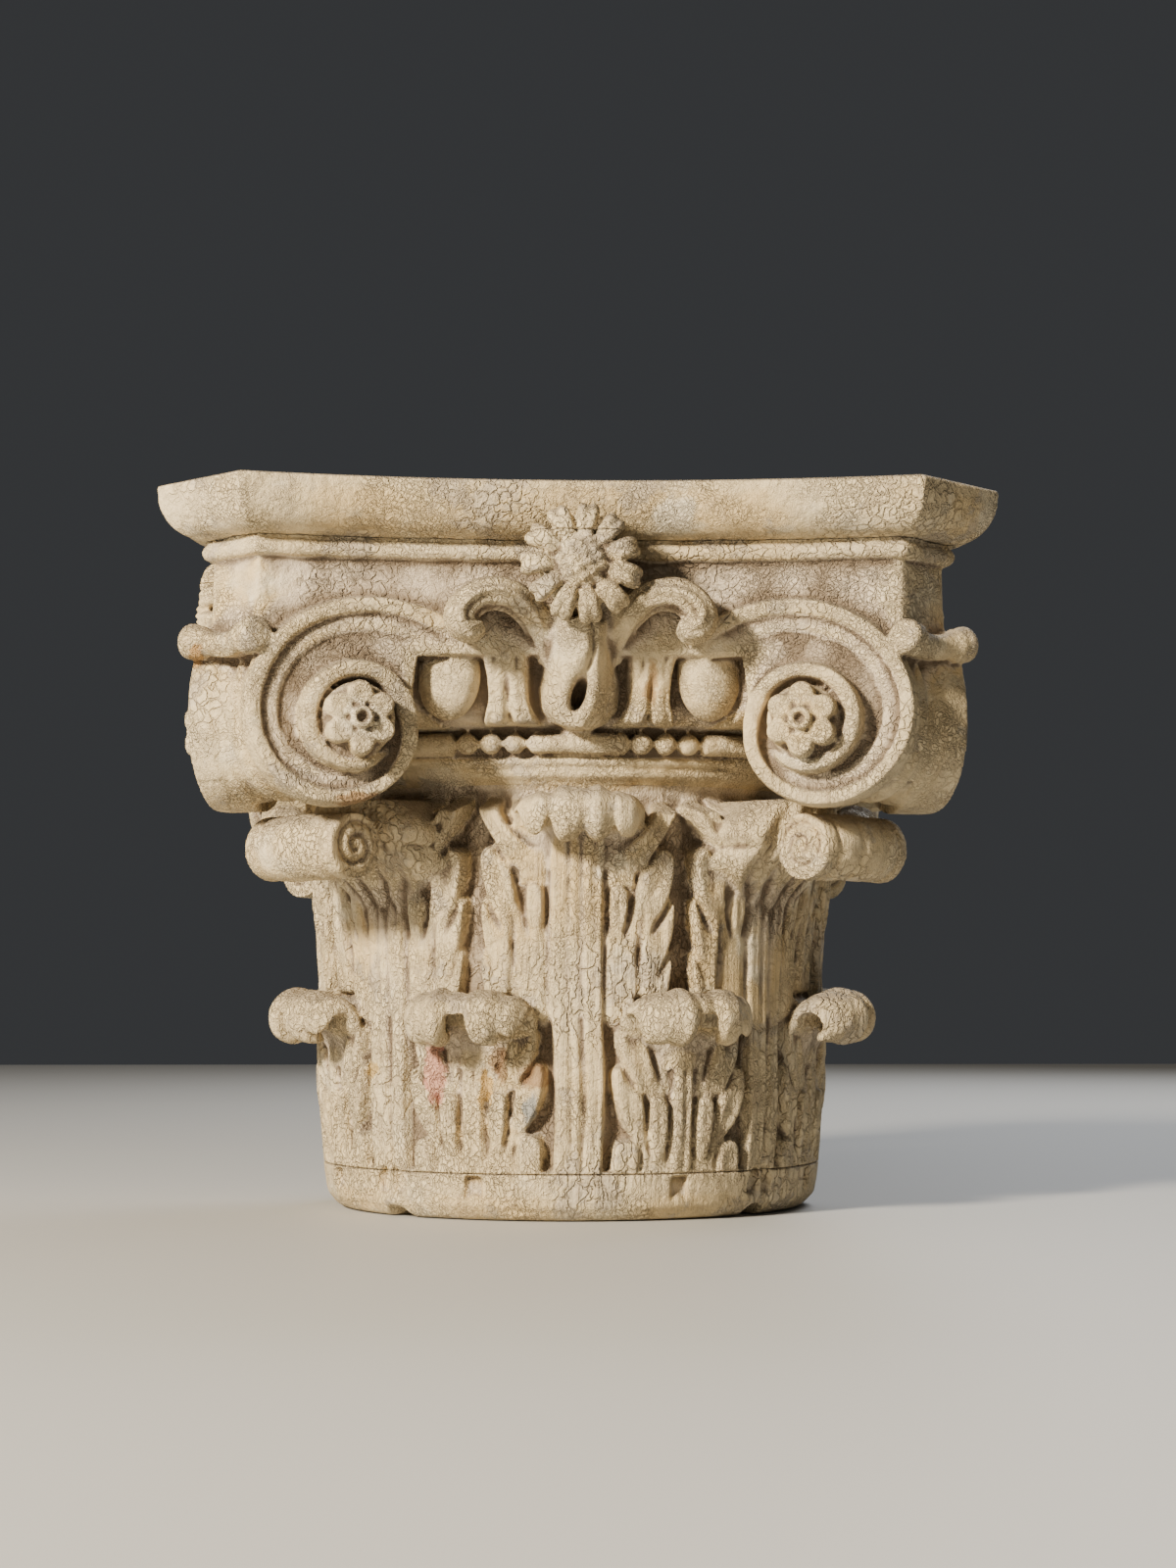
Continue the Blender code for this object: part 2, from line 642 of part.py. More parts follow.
def notch(index, collection):
    """A small round notch in the foot, below each corner leaf."""
    angle = (2 * index + 1) * pi / 4
    bm = bmesh.new()
    bmesh.ops.create_cone(bm, cap_ends=True, segments=12, radius1=NOTCH_RADIUS, radius2=NOTCH_RADIUS,
                          depth=2 * NOTCH_DEPTH)
    bmesh.ops.rotate(bm, verts=bm.verts, cent=(0, 0, 0), matrix=Matrix.Rotation(pi / 2, 3, "X"))
    bmesh.ops.translate(bm, verts=bm.verts, vec=(0, -BORDER_RADIUS, NOTCH_RISE - NOTCH_RADIUS))
    bmesh.ops.rotate(bm, verts=bm.verts, cent=(0, 0, 0), matrix=Matrix.Rotation(angle, 3, "Z"))
    return object_from(bm, f"notch_{index}", collection)


# Assembly

def carve_all(leaves, carving, flowers):
    for index in range(8):
        high_leaf(index, leaves, carving)
        low_leaf(index, leaves, carving)
    for side in SIDES:
        turn = turned_side(side)
        volute_pair(side, carving)
        corner_roll(side, carving)
        volute_faces(f"volute_{side}_left", lambda p: turn @ p, carving)
        volute_faces(f"volute_{side}_right", lambda p: turn @ mirrored(p), carving)
        middle = side * pi / 2
        for hand, word in ((-1, "left"), (1, "right")):
            egg(f"egg_{side}_{word}", middle + hand * EGG_ANGLE, carving)
            dart(f"dart_{side}_{word}", middle + hand * DART_ANGLE, carving)
            scroll(side, hand, carving)
            for number, angle in enumerate(BEAD_ANGLES):
                bead(f"bead_{side}_{word}_{number}", middle + hand * angle, carving)
        husk(side, carving)
        flower(side, flowers)


def main():
    clear_scene()
    parts = new_collection("composite_capital")
    leaves = new_collection("leaves")
    carving = new_collection("carving")
    flowers = new_collection("flowers")
    layers = new_collection("layers")
    notches = new_collection("notches")

    carve_all(leaves, carving, flowers)
    abacus_block(carving)
    for index in SIDES:
        notch(index, notches)

    profile = ground_profile()
    ground = [(0.0, profile[-1][1])] + profile[::-1] + [(0.0, 0.0)]
    base = turned("base_ring", ground, parts)
    body = turned("carved_body", ground, parts)
    board = top_board_blank(parts)

    rough_slab = slab("base_rough", -JOINT_LOW, 1.5 * JOINT_LOW, layers)
    low_slab = slab("base_layer", -JOINT_LOW, JOINT_LOW - JOINT_GAP / 2, layers)
    mid_slab = slab("body_layer", JOINT_LOW + JOINT_GAP / 2, JOINT_HIGH - JOINT_GAP / 2, layers)
    top_slab = slab("board_layer", JOINT_HIGH + JOINT_GAP / 2, HEIGHT + TOP_BOARD, layers)

    add_boolean(base, "UNION", collection=leaves, solver="MANIFOLD")
    add_boolean(base, "INTERSECT", cutter=rough_slab, solver="MANIFOLD")
    thin_out(base, BASE_FACETS_KEPT)
    add_boolean(base, "INTERSECT", cutter=low_slab, solver="MANIFOLD")
    add_boolean(base, "DIFFERENCE", collection=notches, solver="MANIFOLD")
    for collection in (leaves, carving, flowers):
        add_boolean(body, "UNION", collection=collection, solver="MANIFOLD")
    thin_out(body, BODY_FACETS_KEPT)
    add_boolean(body, "INTERSECT", cutter=mid_slab, solver="MANIFOLD")
    add_boolean(board, "UNION", collection=flowers)
    add_boolean(board, "INTERSECT", cutter=top_slab)

    for collection in (leaves, carving, flowers, notches):
        for obj in collection.objects:
            hide_as_cutter(obj)
    coat = {
        base: paint("base_paint", (0.66, 0.58, 0.44), 0.75),
        body: paint("body_paint", (0.68, 0.60, 0.46), 0.75),
        board: paint("board_paint", (0.64, 0.56, 0.42), 0.75),
    }
    for obj, material in coat.items():
        obj.data.materials.append(material)


main()
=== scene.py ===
"""Looks of the carved capital: dense carved surfaces, old crackled paint, floor, light and camera."""

import bpy
import numpy as np
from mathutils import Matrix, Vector


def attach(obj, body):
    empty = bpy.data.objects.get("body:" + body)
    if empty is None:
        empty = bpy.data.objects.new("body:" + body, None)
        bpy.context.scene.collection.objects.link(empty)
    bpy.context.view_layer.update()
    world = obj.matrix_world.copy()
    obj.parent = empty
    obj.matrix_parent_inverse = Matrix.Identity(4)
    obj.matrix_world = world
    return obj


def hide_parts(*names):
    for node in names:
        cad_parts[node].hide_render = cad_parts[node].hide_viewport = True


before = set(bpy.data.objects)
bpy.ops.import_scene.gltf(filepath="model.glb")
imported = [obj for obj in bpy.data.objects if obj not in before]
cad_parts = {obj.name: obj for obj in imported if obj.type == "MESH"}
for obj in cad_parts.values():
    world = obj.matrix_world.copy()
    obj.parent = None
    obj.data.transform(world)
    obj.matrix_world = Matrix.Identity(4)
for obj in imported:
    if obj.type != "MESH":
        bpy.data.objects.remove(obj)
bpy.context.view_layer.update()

MM = 0.001
JOINT_LOW, JOINT_HIGH, HEIGHT = 23.5, 338.0, 365.0
BELL_TOP = 219.5  # where the mesh of the bell ends and that of the head begins
REACH = 209.9  # the furthest that anything stands out from the axis, along X or Y
ARC_RADIUS = 137.5  # the circle along which the leaves are laid out
PITCH = ARC_RADIUS * np.pi / 8  # half the spacing of two leaves of one row, along the bell
BEAD_HEIGHT = 239.4
FLOWER_HEIGHT = 322.5
SPIRAL_CUT = 282.0  # below this the start of the spiral's outer turn is cut away
# The abacus outline: the radius of its curved sides, how far out their centre lies, and X + Y at a corner
ABACUS_ARC, ABACUS_CENTRE, ABACUS_CORNER = 666.0, 829.4, 340
EYE = np.array((-111.5, -173.0, 247.0))  # the eye of the front left volute
TURN = np.radians(14)  # how far a volute's face is turned towards the middle of its side
JOINT_HALF = 0.15  # half the gap at a joint
GROOVE, FLOWER_GROOVE = 0.9, 0.15  # how deep the groove at a joint is, and across the flowers
VOXEL = 1.05 * MM
TRIANGLES = {"base_ring": 60000, "bell": 190000, "head": 195000, "top_board": 90000}
NODES = {"base_ring": "base_ring", "bell": "carved_body", "head": "carved_body", "top_board": "top_board"}


# Small numeric helpers (all in millimetres until the mesh is made)

def smooth(x, lo, hi):
    """A soft step from 0 at lo to 1 at hi."""
    t = np.clip((x - lo) / (hi - lo), 0, 1)
    return t * t * (3 - 2 * t)


def curve(x, xs, ys):
    """A rounded line through points."""
    xs, ys = np.asarray(xs, float), np.asarray(ys, float)
    fine = np.linspace(xs[0], xs[-1], 400)
    raw = np.interp(fine, xs, ys)
    n = 17
    pad = np.concatenate((np.full(n, 1.0) * raw[0], raw, np.full(n, 1.0) * raw[-1]))
    kernel = np.hanning(2 * n + 1)
    return np.interp(x, fine, np.convolve(pad, kernel / kernel.sum(), "valid"))


def waves(p, scale, seed, count=14):
    """Smooth random values between about -1 and 1 that vary over the given scale."""
    r = np.random.default_rng(seed)
    k = r.normal(size=(count, p.shape[-1])) / scale
    total = np.zeros(p.shape[:-1])
    for i in range(count):
        total += np.sin(p @ k[i] * 2.2 + r.uniform(0, 6.28))
    return total / np.sqrt(count)


def polar(angle, radius, z):
    """Points at an angle from the front, counted towards +X."""
    return np.stack((radius * np.sin(angle), -radius * np.cos(angle), z + 0 * radius), -1)


# Closed pieces of clay: the points, the faces with four corners and the faces with three

def tube(rings):
    """A closed solid through rings of equally many points, with fanned ends."""
    rings = np.asarray(rings, float)
    k, n, _ = rings.shape
    points = np.concatenate((rings.reshape(-1, 3), rings[0].mean(0)[None], rings[-1].mean(0)[None]))
    a = (np.arange(k - 1)[:, None] * n + np.arange(n)[None]).ravel()
    b = (np.arange(k - 1)[:, None] * n + (np.arange(n)[None] + 1) % n).ravel()
    quads = np.stack((a, b, b + n, a + n), -1)
    i = np.arange(n)
    j = (i + 1) % n
    top = (k - 1) * n
    tris = np.concatenate((
        np.stack((j, i, np.full(n, k * n)), -1),
        np.stack((top + i, top + j, np.full(n, k * n + 1)), -1)))
    return points, quads, tris


def slab(front, back, mask=None):
    """A closed sheet between two grids of points, kept only where the mask of cells is true."""
    n, m, _ = front.shape
    if mask is None:
        mask = np.ones((n - 1, m - 1), bool)
    points = np.concatenate((front.reshape(-1, 3), back.reshape(-1, 3)))
    off = n * m
    i, j = np.nonzero(mask)
    a = i * m + j
    quads = [np.stack((a, a + 1, a + m + 1, a + m), -1),
             np.stack((a + off, a + m + off, a + m + 1 + off, a + 1 + off), -1)]
    padded = np.pad(mask, 1)
    sides = ((-1, 0, (0, 0), (0, 1)), (1, 0, (1, 1), (1, 0)), (0, -1, (1, 0), (0, 0)), (0, 1, (0, 1), (1, 1)))
    for di, dj, p, q in sides:
        edge = mask & ~padded[1 + di:n + di, 1 + dj:m + dj]
        i, j = np.nonzero(edge)
        u = (i + p[0]) * m + j + p[1]
        v = (i + q[0]) * m + j + q[1]
        quads.append(np.stack((v, u, u + off, v + off), -1))
    return points, np.concatenate(quads), np.zeros((0, 3), int)


def ball(centre, radii, axes=None, n=24):
    """An ellipsoid with its radii along the given axes."""
    lat = np.linspace(-np.pi / 2, np.pi / 2, n // 2 + 1)[1:-1]
    lon = np.linspace(0, 2 * np.pi, n, endpoint=False)
    rings = np.stack((np.cos(lat)[:, None] * np.cos(lon), np.cos(lat)[:, None] * np.sin(lon),
                      np.sin(lat)[:, None] + 0 * lon), -1) * np.asarray(radii)
    if axes is not None:
        rings = rings @ np.asarray(axes, float)
    return tube(rings + np.asarray(centre))


def sweep(path, radius_a, radius_b, flat_axis, n=20, flute=0.0, flutes=0):
    """A round bar along a path; radius_b lies along flat_axis, radius_a across it."""
    path = np.asarray(path, float)
    along = np.gradient(path, axis=0)
    along /= np.linalg.norm(along, axis=1)[:, None]
    b = np.asarray(flat_axis, float)[None] - (along @ np.asarray(flat_axis, float))[:, None] * along
    b /= np.linalg.norm(b, axis=1)[:, None]
    a = np.cross(b, along)
    t = np.linspace(0, 2 * np.pi, n, endpoint=False)
    wave = 1 + flute * np.cos(flutes * t)
    ra = np.broadcast_to(radius_a, len(path))[:, None, None]
    rb = np.broadcast_to(radius_b, len(path))[:, None, None]
    rings = path[:, None] + a[:, None] * (ra * (np.cos(t) * wave)[None, :, None]) + \
        b[:, None] * (rb * (np.sin(t) * wave)[None, :, None])
    return tube(rings)


def spline(points, count):
    """A smooth curve that passes through all the points."""
    p = np.asarray(points, float)
    p = np.concatenate((2 * p[:1] - p[1:2], p, 2 * p[-1:] - p[-2:-1]))
    n = len(p) - 3
    u = np.linspace(0, n - 1e-9, count)
    i = u.astype(int)
    t = (u - i)[:, None]
    a, b, c, d = p[i], p[i + 1], p[i + 2], p[i + 3]
    return 0.5 * (2 * b + (c - a) * t + (2 * a - 5 * b + 4 * c - d) * t ** 2 +
                  (3 * b - a - 3 * c + d) * t ** 3)


clay = []


def add(piece, angle=0.0, mirror=False):
    """Puts a piece into the clay, turned about the axis."""
    points, quads, tris = piece
    if mirror:
        points = points * (-1, 1, 1)
        quads, tris = quads[:, ::-1], tris[:, ::-1]
    c, s = np.cos(angle), np.sin(angle)
    clay.append((points @ np.array(((c, s, 0), (-s, c, 0), (0, 0, 1))), quads, tris))


def all_sides(piece, both_hands=False):
    """Puts a piece on all four sides, if asked with its mirror image beside it."""
    for side in range(4):
        add(piece, side * np.pi / 2)
        if both_hands:
            add(piece, side * np.pi / 2, mirror=True)


# Bell: a turned ground with two rows of leaves

# The turned ground and the tops of the leaves over it, as height and radius
GROUND = np.array((
    (0, 124), (0.6, 126), (3, 129), (6, 130.7), (9.6, 131.0), (13, 130.6), (17, 130.0), (23.5, 129.0),
    (40, 129.0), (80, 130.0), (120, 130.2), (150, 131.0), (180, 131.6), (200, 130.6), (210, 128.6),
    (217, 129.6), (221, 132.5), (223, 135.6), (224, 136.4), (226.8, 136.4), (227.4, 134.6),
    (228.2, 134.8), (229, 138.0), (232, 138.2), (233, 136.0), (234.2, 135.6), (239.5, 136.4),
    (244.6, 136.0), (246.2, 136.6), (247.2, 141.0), (249, 145.5), (262, 147.5), (272, 149.5),
    (280, 152.0), (292, 152)))
LEAF_R = np.array((
    (0, 126.0), (6, 132.0), (12, 133.2), (23.5, 134.8), (65, 138.6), (121, 138.4), (149, 140.0),
    (175, 142.8), (190, 144.6), (205, 144.0), (215, 138.0)))
HIGH_LEAF_TOP, LOW_LEAF_TOP = 214, 114
NOTCH_HALF, NOTCH_RISE, NOTCH_DEPTH = 7.2, 5.6, 16  # the four notches in the foot
HIGH_STEM_HALF, LOW_STEM_HALF = 13.4, 6.0
FINGER_RIM = 1.7  # the width of the rounding round a finger


def finger(x, z, root, tip, root_half, tip_half, height, bow=0.0):
    """The height of one finger of a leaf: a drop with a rolled rim and a dished middle. It widens from its
    root to a round end at its tip, and bows sideways on the way. The second and third results say how deep
    inside the finger each point lies, and how far along it."""
    steps = 14
    share = np.linspace(0, 1, steps + 1)
    px = root[0] + (tip[0] - root[0]) * share + bow * np.sin(np.pi * share)
    pz = root[1] + (tip[1] - root[1]) * share
    half = root_half + (tip_half - root_half) * np.sin(share * np.pi * 0.62) ** 1.3
    depth = np.full(x.shape, -99.0)
    at = np.zeros(x.shape)
    wide = np.ones(x.shape)
    for i in range(steps):
        dx, dz = px[i + 1] - px[i], pz[i + 1] - pz[i]
        t = np.clip(((x - px[i]) * dx + (z - pz[i]) * dz) / (dx * dx + dz * dz), 0, 1)
        w = half[i] + (half[i + 1] - half[i]) * t
        d = w - np.hypot(x - px[i] - t * dx, z - pz[i] - t * dz)
        better = d > depth
        depth = np.where(better, d, depth)
        at = np.where(better, (i + t) / steps, at)
        wide = np.where(better, w, wide)
    edge = np.clip(depth / FINGER_RIM, 0, 1)
    rim = np.sqrt(edge * (2 - edge))
    dish = 1 - 0.11 * smooth(depth / wide, 0.30, 0.95) * smooth(at, 0.15, 0.5)
    return height * (0.60 + 0.40 * smooth(at, 0.0, 0.6)) * rim * dish, depth, at


# Each finger as root, tip (across, height), half widths at both, height over the ground, sideways bow
HIGH_FINGERS = (
    ((37.0, 94), (41.5, 134), 3.6, 7.8, 1.04, 0.8),
    ((33.0, 116), (42.0, 158), 3.8, 8.2, 1.10, 2.0),
    ((27.5, 138), (41.5, 180), 4.0, 8.6, 1.16, 2.6),
    ((20.0, 136), (21.5, 163), 2.4, 4.8, 1.12, 0.0),
    ((19.0, 172), (45.0, 208), 8.0, 5.6, 1.30, 3.0),
)
LOW_FINGERS = (
    ((28.5, 12), (29.0, 36), 3.0, 7.0, 1.06, 0.4),
    ((19.0, 38), (30.0, 73), 3.6, 7.6, 1.12, 2.4),
    ((12.0, 24), (13.5, 60), 2.2, 5.2, 1.16, 0.0),
    ((13.0, 62), (27.0, 92), 4.4, 7.8, 1.16, 2.4),
    ((7, 88), (16.0, 108), 8.0, 10.0, 1.10, 0.5),
)


def fingered(x, z, fingers, body):
    """Fingers laid over each other from the foot up, each with a narrow cut where it meets the one below."""
    h = body
    for root, tip, root_half, tip_half, height, bow in fingers:
        own, depth, at = finger(x, z, root, tip, root_half, tip_half, height, bow)
        gap = np.exp(-((depth + 0.8) / 1.2) ** 2) * smooth(at, 0.12, 0.45)
        h = np.where(own > h, own, h * (1 - 0.52 * gap))
    return h


def high_leaf_height(x, z):
    """An upper leaf: how far it stands over the ground, as a share of the leaves' full relief."""
    side = np.abs(x)
    edge = 45 - 3 * smooth(118 - z, 0, 20) - 8 * smooth(z, 150, 188)
    body = 0.86 * smooth(edge - side, 0, 3) * smooth(z, 92, 104)
    h = fingered(side, z, HIGH_FINGERS, body)
    stem = smooth(HIGH_STEM_HALF - side, -0.4, 1.4) * smooth(z, 7, 14)
    stem = stem - 0.42 * np.exp(-((x - 2.0) / 1.5) ** 2) - 0.26 * np.exp(-((x + 4.6) / 1.1) ** 2)
    stem = stem - 0.22 * np.exp(-((x - 8.6) / 1.0) ** 2) - 0.12 * np.exp(-((x + 9.2) / 0.7) ** 2)
    gully = np.exp(-((side - 14.6) / 1.6) ** 2) * smooth(z, 20, 100)
    return np.maximum(h * (1 - 0.30 * gully), stem) * smooth(HIGH_LEAF_TOP - z, 0, 10)


def low_leaf_height(x, z):
    """A lower leaf, in the same way."""
    side = np.abs(x)
    edge = 27 + 4 * smooth(z, 50, 70) - 4 * smooth(z, 84, 100)
    body = 0.78 * smooth(edge - side, 0, 3) * smooth(112 - z, 0, 8) * smooth(z, 14, 24)
    h = fingered(side, z, LOW_FINGERS, body)
    stem = smooth(LOW_STEM_HALF - side, -0.4, 1.4) * smooth(z, 7, 14)
    stem = stem * (1.0 - 0.25 * np.exp(-((x - 1.2) / 1.2) ** 2))
    gully = np.exp(-((side - 7.2) / 1.2) ** 2)
    return np.maximum(h * (1 - 0.28 * gully), stem) * smooth(LOW_LEAF_TOP - z, 0, 6)


def squared(angle, z):
    """How much further out the head stands towards the volutes than a true circle, by height."""
    a = (angle + np.pi / 4) % (np.pi / 2) - np.pi / 4
    a = np.clip(np.abs(a), 0, 0.62)
    return np.cos(a) ** (-0.35 * smooth(z, 216, 236) - 0.45 * smooth(z, 246, 256))


def base_recess(arc, low_x, z):
    """Recesses in the base ring: arches below the corner leaves, small peaks below the lower leaves."""
    across = from_corner(arc)
    arch = smooth(10.5 - np.hypot(across, np.maximum(z - 16, 0)), 0, 1.5)
    arch = arch * smooth(z, 10.5 + 0.02 * across ** 2, 12.5)
    arch = arch * smooth(np.abs(across), 1.0, 3.5) * (z < 30)
    beside = 5.0 - np.abs(low_x)
    peak = smooth(beside, 0, 1.5) * smooth(z - 8.5 - beside * 0.9, 0, 1.5) * (z < 22)
    return arch, peak


def from_corner(arc):
    """The distance along the bell from the nearest corner."""
    step = 2 * PITCH
    return arc % (2 * step) - step


def bell():
    """The bell and the beds of the mouldings above it, as one turned surface with its leaves."""
    zs = np.concatenate((np.linspace(0, 8, 10), np.linspace(9, 224, 190), np.linspace(224.6, 292, 80)))
    angles = np.linspace(0, 2 * np.pi, 768, endpoint=False)
    a, z = np.meshgrid(angles, zs)
    spot = np.stack((np.cos(a) * 130, np.sin(a) * 130, z), -1)
    wob_x, wob_z = 1.3 * waves(spot, 60, 3), 1.6 * waves(spot, 60, 5)
    arc = a * ARC_RADIUS + wob_x
    zz = z + wob_z * smooth(z, 8, 40)
    step = 2 * PITCH
    high_x = (arc + PITCH) % step - PITCH
    low_x = arc % step - PITCH
    ground = np.interp(z, GROUND[:, 0], GROUND[:, 1])
    leaf = np.interp(z, LEAF_R[:, 0], LEAF_R[:, 1])
    low = low_leaf_height(low_x, zz)
    high = high_leaf_height(high_x, zz)
    h = np.where(low > 0.05, np.maximum(low, high * (np.abs(high_x) < 15)), high)
    arch, peak = base_recess(arc, low_x, z)
    h = np.maximum(h, smooth(25.5 - z, 0, 1.5) * smooth(z, 4, 8)) - 1.7 * arch - 1.4 * peak
    foot = smooth(15.5 - np.abs(high_x) + 0.25 * (12 - z), 0, 2) * smooth(z, 6, 9) * smooth(26 - z, 0, 3)
    h = np.maximum(h, 0.75 * foot * (np.abs(from_corner(arc)) > 14))
    r = ground + (leaf - ground) * np.clip(h, -1.2, 1.3) * (z < 219)
    notch = np.hypot(from_corner(arc) / NOTCH_HALF, z / NOTCH_RISE)
    r = r - NOTCH_DEPTH * smooth(1.12 - notch, 0, 0.12)
    return tube(polar(a, r * squared(a, z), z))


# Curled tips of the leaves

def curl(foot, out, top, radius, half, thick, droop, start, lobes, lift=0.0, rise=3.2, ends=0.45):
    """A leaf's end that leaves the bell, rolls over and hangs down in lobes. The lobes list
    (place across from -1 to 1, how far round the roll that finger reaches)."""
    nu, nv = 110, 90
    v = np.linspace(-1, 1, nv)[None]
    u = np.linspace(0, 1, nu)[:, None]
    foot_r = np.interp(foot, LEAF_R[:, 0], LEAF_R[:, 1]) - 5
    where = np.array(lobes)[:, 0]
    fingers = np.max([f * np.sqrt(np.clip(1 - ((v[0] - c) / 0.30) ** 2, 0, 1)) for c, f in lobes], 0)
    base = np.interp(v[0], (-1, -0.8, 0, 0.8, 1), (0.28, 0.42, 0.50, 0.42, 0.28))
    reach = np.maximum(fingers, base)[None]
    finger = np.argmin(np.abs(v[0][:, None] - where[None]), 1)
    swell = 1.5 * np.cos(np.clip((v[0] - where[finger]) / 0.30, -1.2, 1.2) * np.pi / 1.2)[None]
    run = 0.36
    r = radius * (1 - 0.30 * v ** 2)
    cen_o = out - droop * v ** 2
    cen_z = top - thick / 2 - radius + lift * v ** 2
    s = np.clip(u / run, 0, 1)
    lo_o = foot_r + (cen_o - r - foot_r) * s ** rise
    lo_z = foot + (cen_z - foot) * s
    w = np.clip((u - run) / (1 - run), 0, 1) * reach
    turn = np.pi - w * np.radians(330)
    tight = r * (1 - 0.34 * w)
    o = np.where(u < run, lo_o, cen_o + tight * np.cos(turn))
    zz = np.where(u < run, lo_z, cen_z + tight * np.sin(turn))
    wide = half * np.where(u < run, start + (1 - start) * smooth(s, 0.2, 1), 1 - 0.08 * w ** 2) + 0 * v
    x = v * wide
    do, dz = np.gradient(o, axis=0), np.gradient(zz, axis=0)
    ln = np.hypot(do, dz) + 1e-9
    no, nz = dz / ln, -do / ln
    live = smooth(u, 0.15, 0.5)
    bulge = swell * live + 0.5 * np.cos(v * 22) * live
    t = thick / 2 * (1 - 0.5 * v ** 4) * (1 - ends * smooth(u, 0.75, 1))
    inner = np.stack((x, -(o + no * t), zz + nz * t), -1)
    outer = np.stack((x, -(o - no * (t + bulge)), zz - nz * (t + bulge)), -1)
    return slab(inner, outer)


TOP_LOBES = ((-0.70, 0.72), (-0.20, 0.98), (0.28, 0.94), (0.74, 0.74))
LOW_LOBES = ((-0.70, 0.88), (-0.36, 1.0), (0.46, 0.90), (0.80, 0.66))


def corner_scroll():
    """The thick roll in which a corner leaf ends, with a spiral cut into either end and lobes across it."""
    length = 33.0
    turn = np.linspace(0, 2 * np.pi, 96, endpoint=False)[None]
    x = np.linspace(-length, length, 110)[:, None]
    share = np.abs(x) / length
    radius = 16.6 - 2.6 * np.exp(-((share - 0.72) / 0.030) ** 2) + 0 * turn
    radius = radius - 1.8 * np.exp(-((x + 8) / 1.3) ** 2) - 1.5 * np.exp(-((x - 13) / 1.3) ** 2)
    ends = []
    for rho in np.linspace(1.0, 14.8, 14):
        wind = (rho - 1.1 * turn) % (2 * np.pi * 1.1)
        depth = length + 1.2 - 3.4 * np.exp(-((wind - 3.4) / 1.1) ** 2) - 0.02 * rho ** 1.6
        ends.append((rho + 0 * turn, depth))
    xs = np.concatenate([-depth for _, depth in ends] + [x + 0 * turn] + [depth for _, depth in ends[::-1]])
    radius = np.concatenate([rho for rho, _ in ends] + [radius] + [rho for rho, _ in ends[::-1]])
    out = 193.5 + radius * np.cos(turn) - 0.0042 * xs ** 2
    return tube(np.stack((xs, -out, 187.0 + radius * np.sin(turn)), -1)[:, ::-1])


def bracket():
    """The wood behind a corner leaf, from the bell to its roll, with gouge cuts that fan upwards."""
    rings = []
    for share in np.linspace(0, 1, 90):
        z = 140 + share * 72
        near = np.interp(z, LEAF_R[:, 0], LEAF_R[:, 1]) - 5
        swell = curve(share, (0, 0.2, 0.4, 0.6, 0.8, 1), (0.0, 0.05, 0.22, 0.52, 0.80, 0.92))
        out = near + swell * (181 - near)
        lobes = np.abs(np.sin(share * np.pi * 3.0)) ** 0.6
        wing = 22 + 15 * smooth(share, 0.0, 0.6) + 6.0 * lobes * smooth(share, 0.03, 0.3)
        wing = wing - 12 * smooth(share, 0.72, 1.0)
        t = np.linspace(-1, 1, 97)
        fan = 1.5 * np.cos(np.abs(t) * np.pi * 6.0 - 2.2 * share) * smooth(share, 0.12, 0.4)
        o = out - (5 + 10 * swell) * t ** 2 - 9 * np.abs(t) ** 7 * smooth(share, 0.1, 0.4) + fan
        front = np.stack((t * wing, -o, z + 0 * t), -1)
        back = np.stack((t[::-1] * wing, -(0.80 * near) + 0 * t, z + 0 * t), -1)
        rings.append(np.concatenate((front, back)))
    return tube(rings)


# Volutes

SPIRAL_DEG = (20, 28, 60, 90, 180, 270, 360, 450, 540, 630, 690)
OUTER = (80, 76, 66, 60.8, 54.3, 40.5, 30.5, 30.7, 29.8, 26.0, 22)
INNER = (70.5, 66.5, 57, 52.2, 46.6, 33.0, 21.0, 20.0, 18.8, 18.4, 18.2)
CREST = (7.0, 7.5, 8.0, 8.5, 8.5, 9.0, 11.5, 14.5, 16.0, 15.0, 12)


def face(radius, deg, relief):
    """Points on the front left volute's face, by radius and angle from its eye."""
    across = np.array((-np.cos(TURN), -np.sin(TURN), 0))
    outward = np.array((np.sin(TURN), -np.cos(TURN), 0))
    a = np.radians(deg)
    flat = -radius * np.cos(a)
    return EYE + across * flat[..., None] + np.array((0, 0, 1)) * (radius * np.sin(a))[..., None] + \
        outward * np.asarray(relief)[..., None]


def ridge_profile(t, softness):
    """Across the spiral's ridge, from its inner edge (0) to its outer edge (1): a nearly flat, crisp band."""
    middle = 0.93 + 0.07 * np.sin(t * np.pi)
    return smooth(t, -0.02, 0.02 + softness) * smooth(1.03 - t, 0.0, 0.06 + softness) * middle


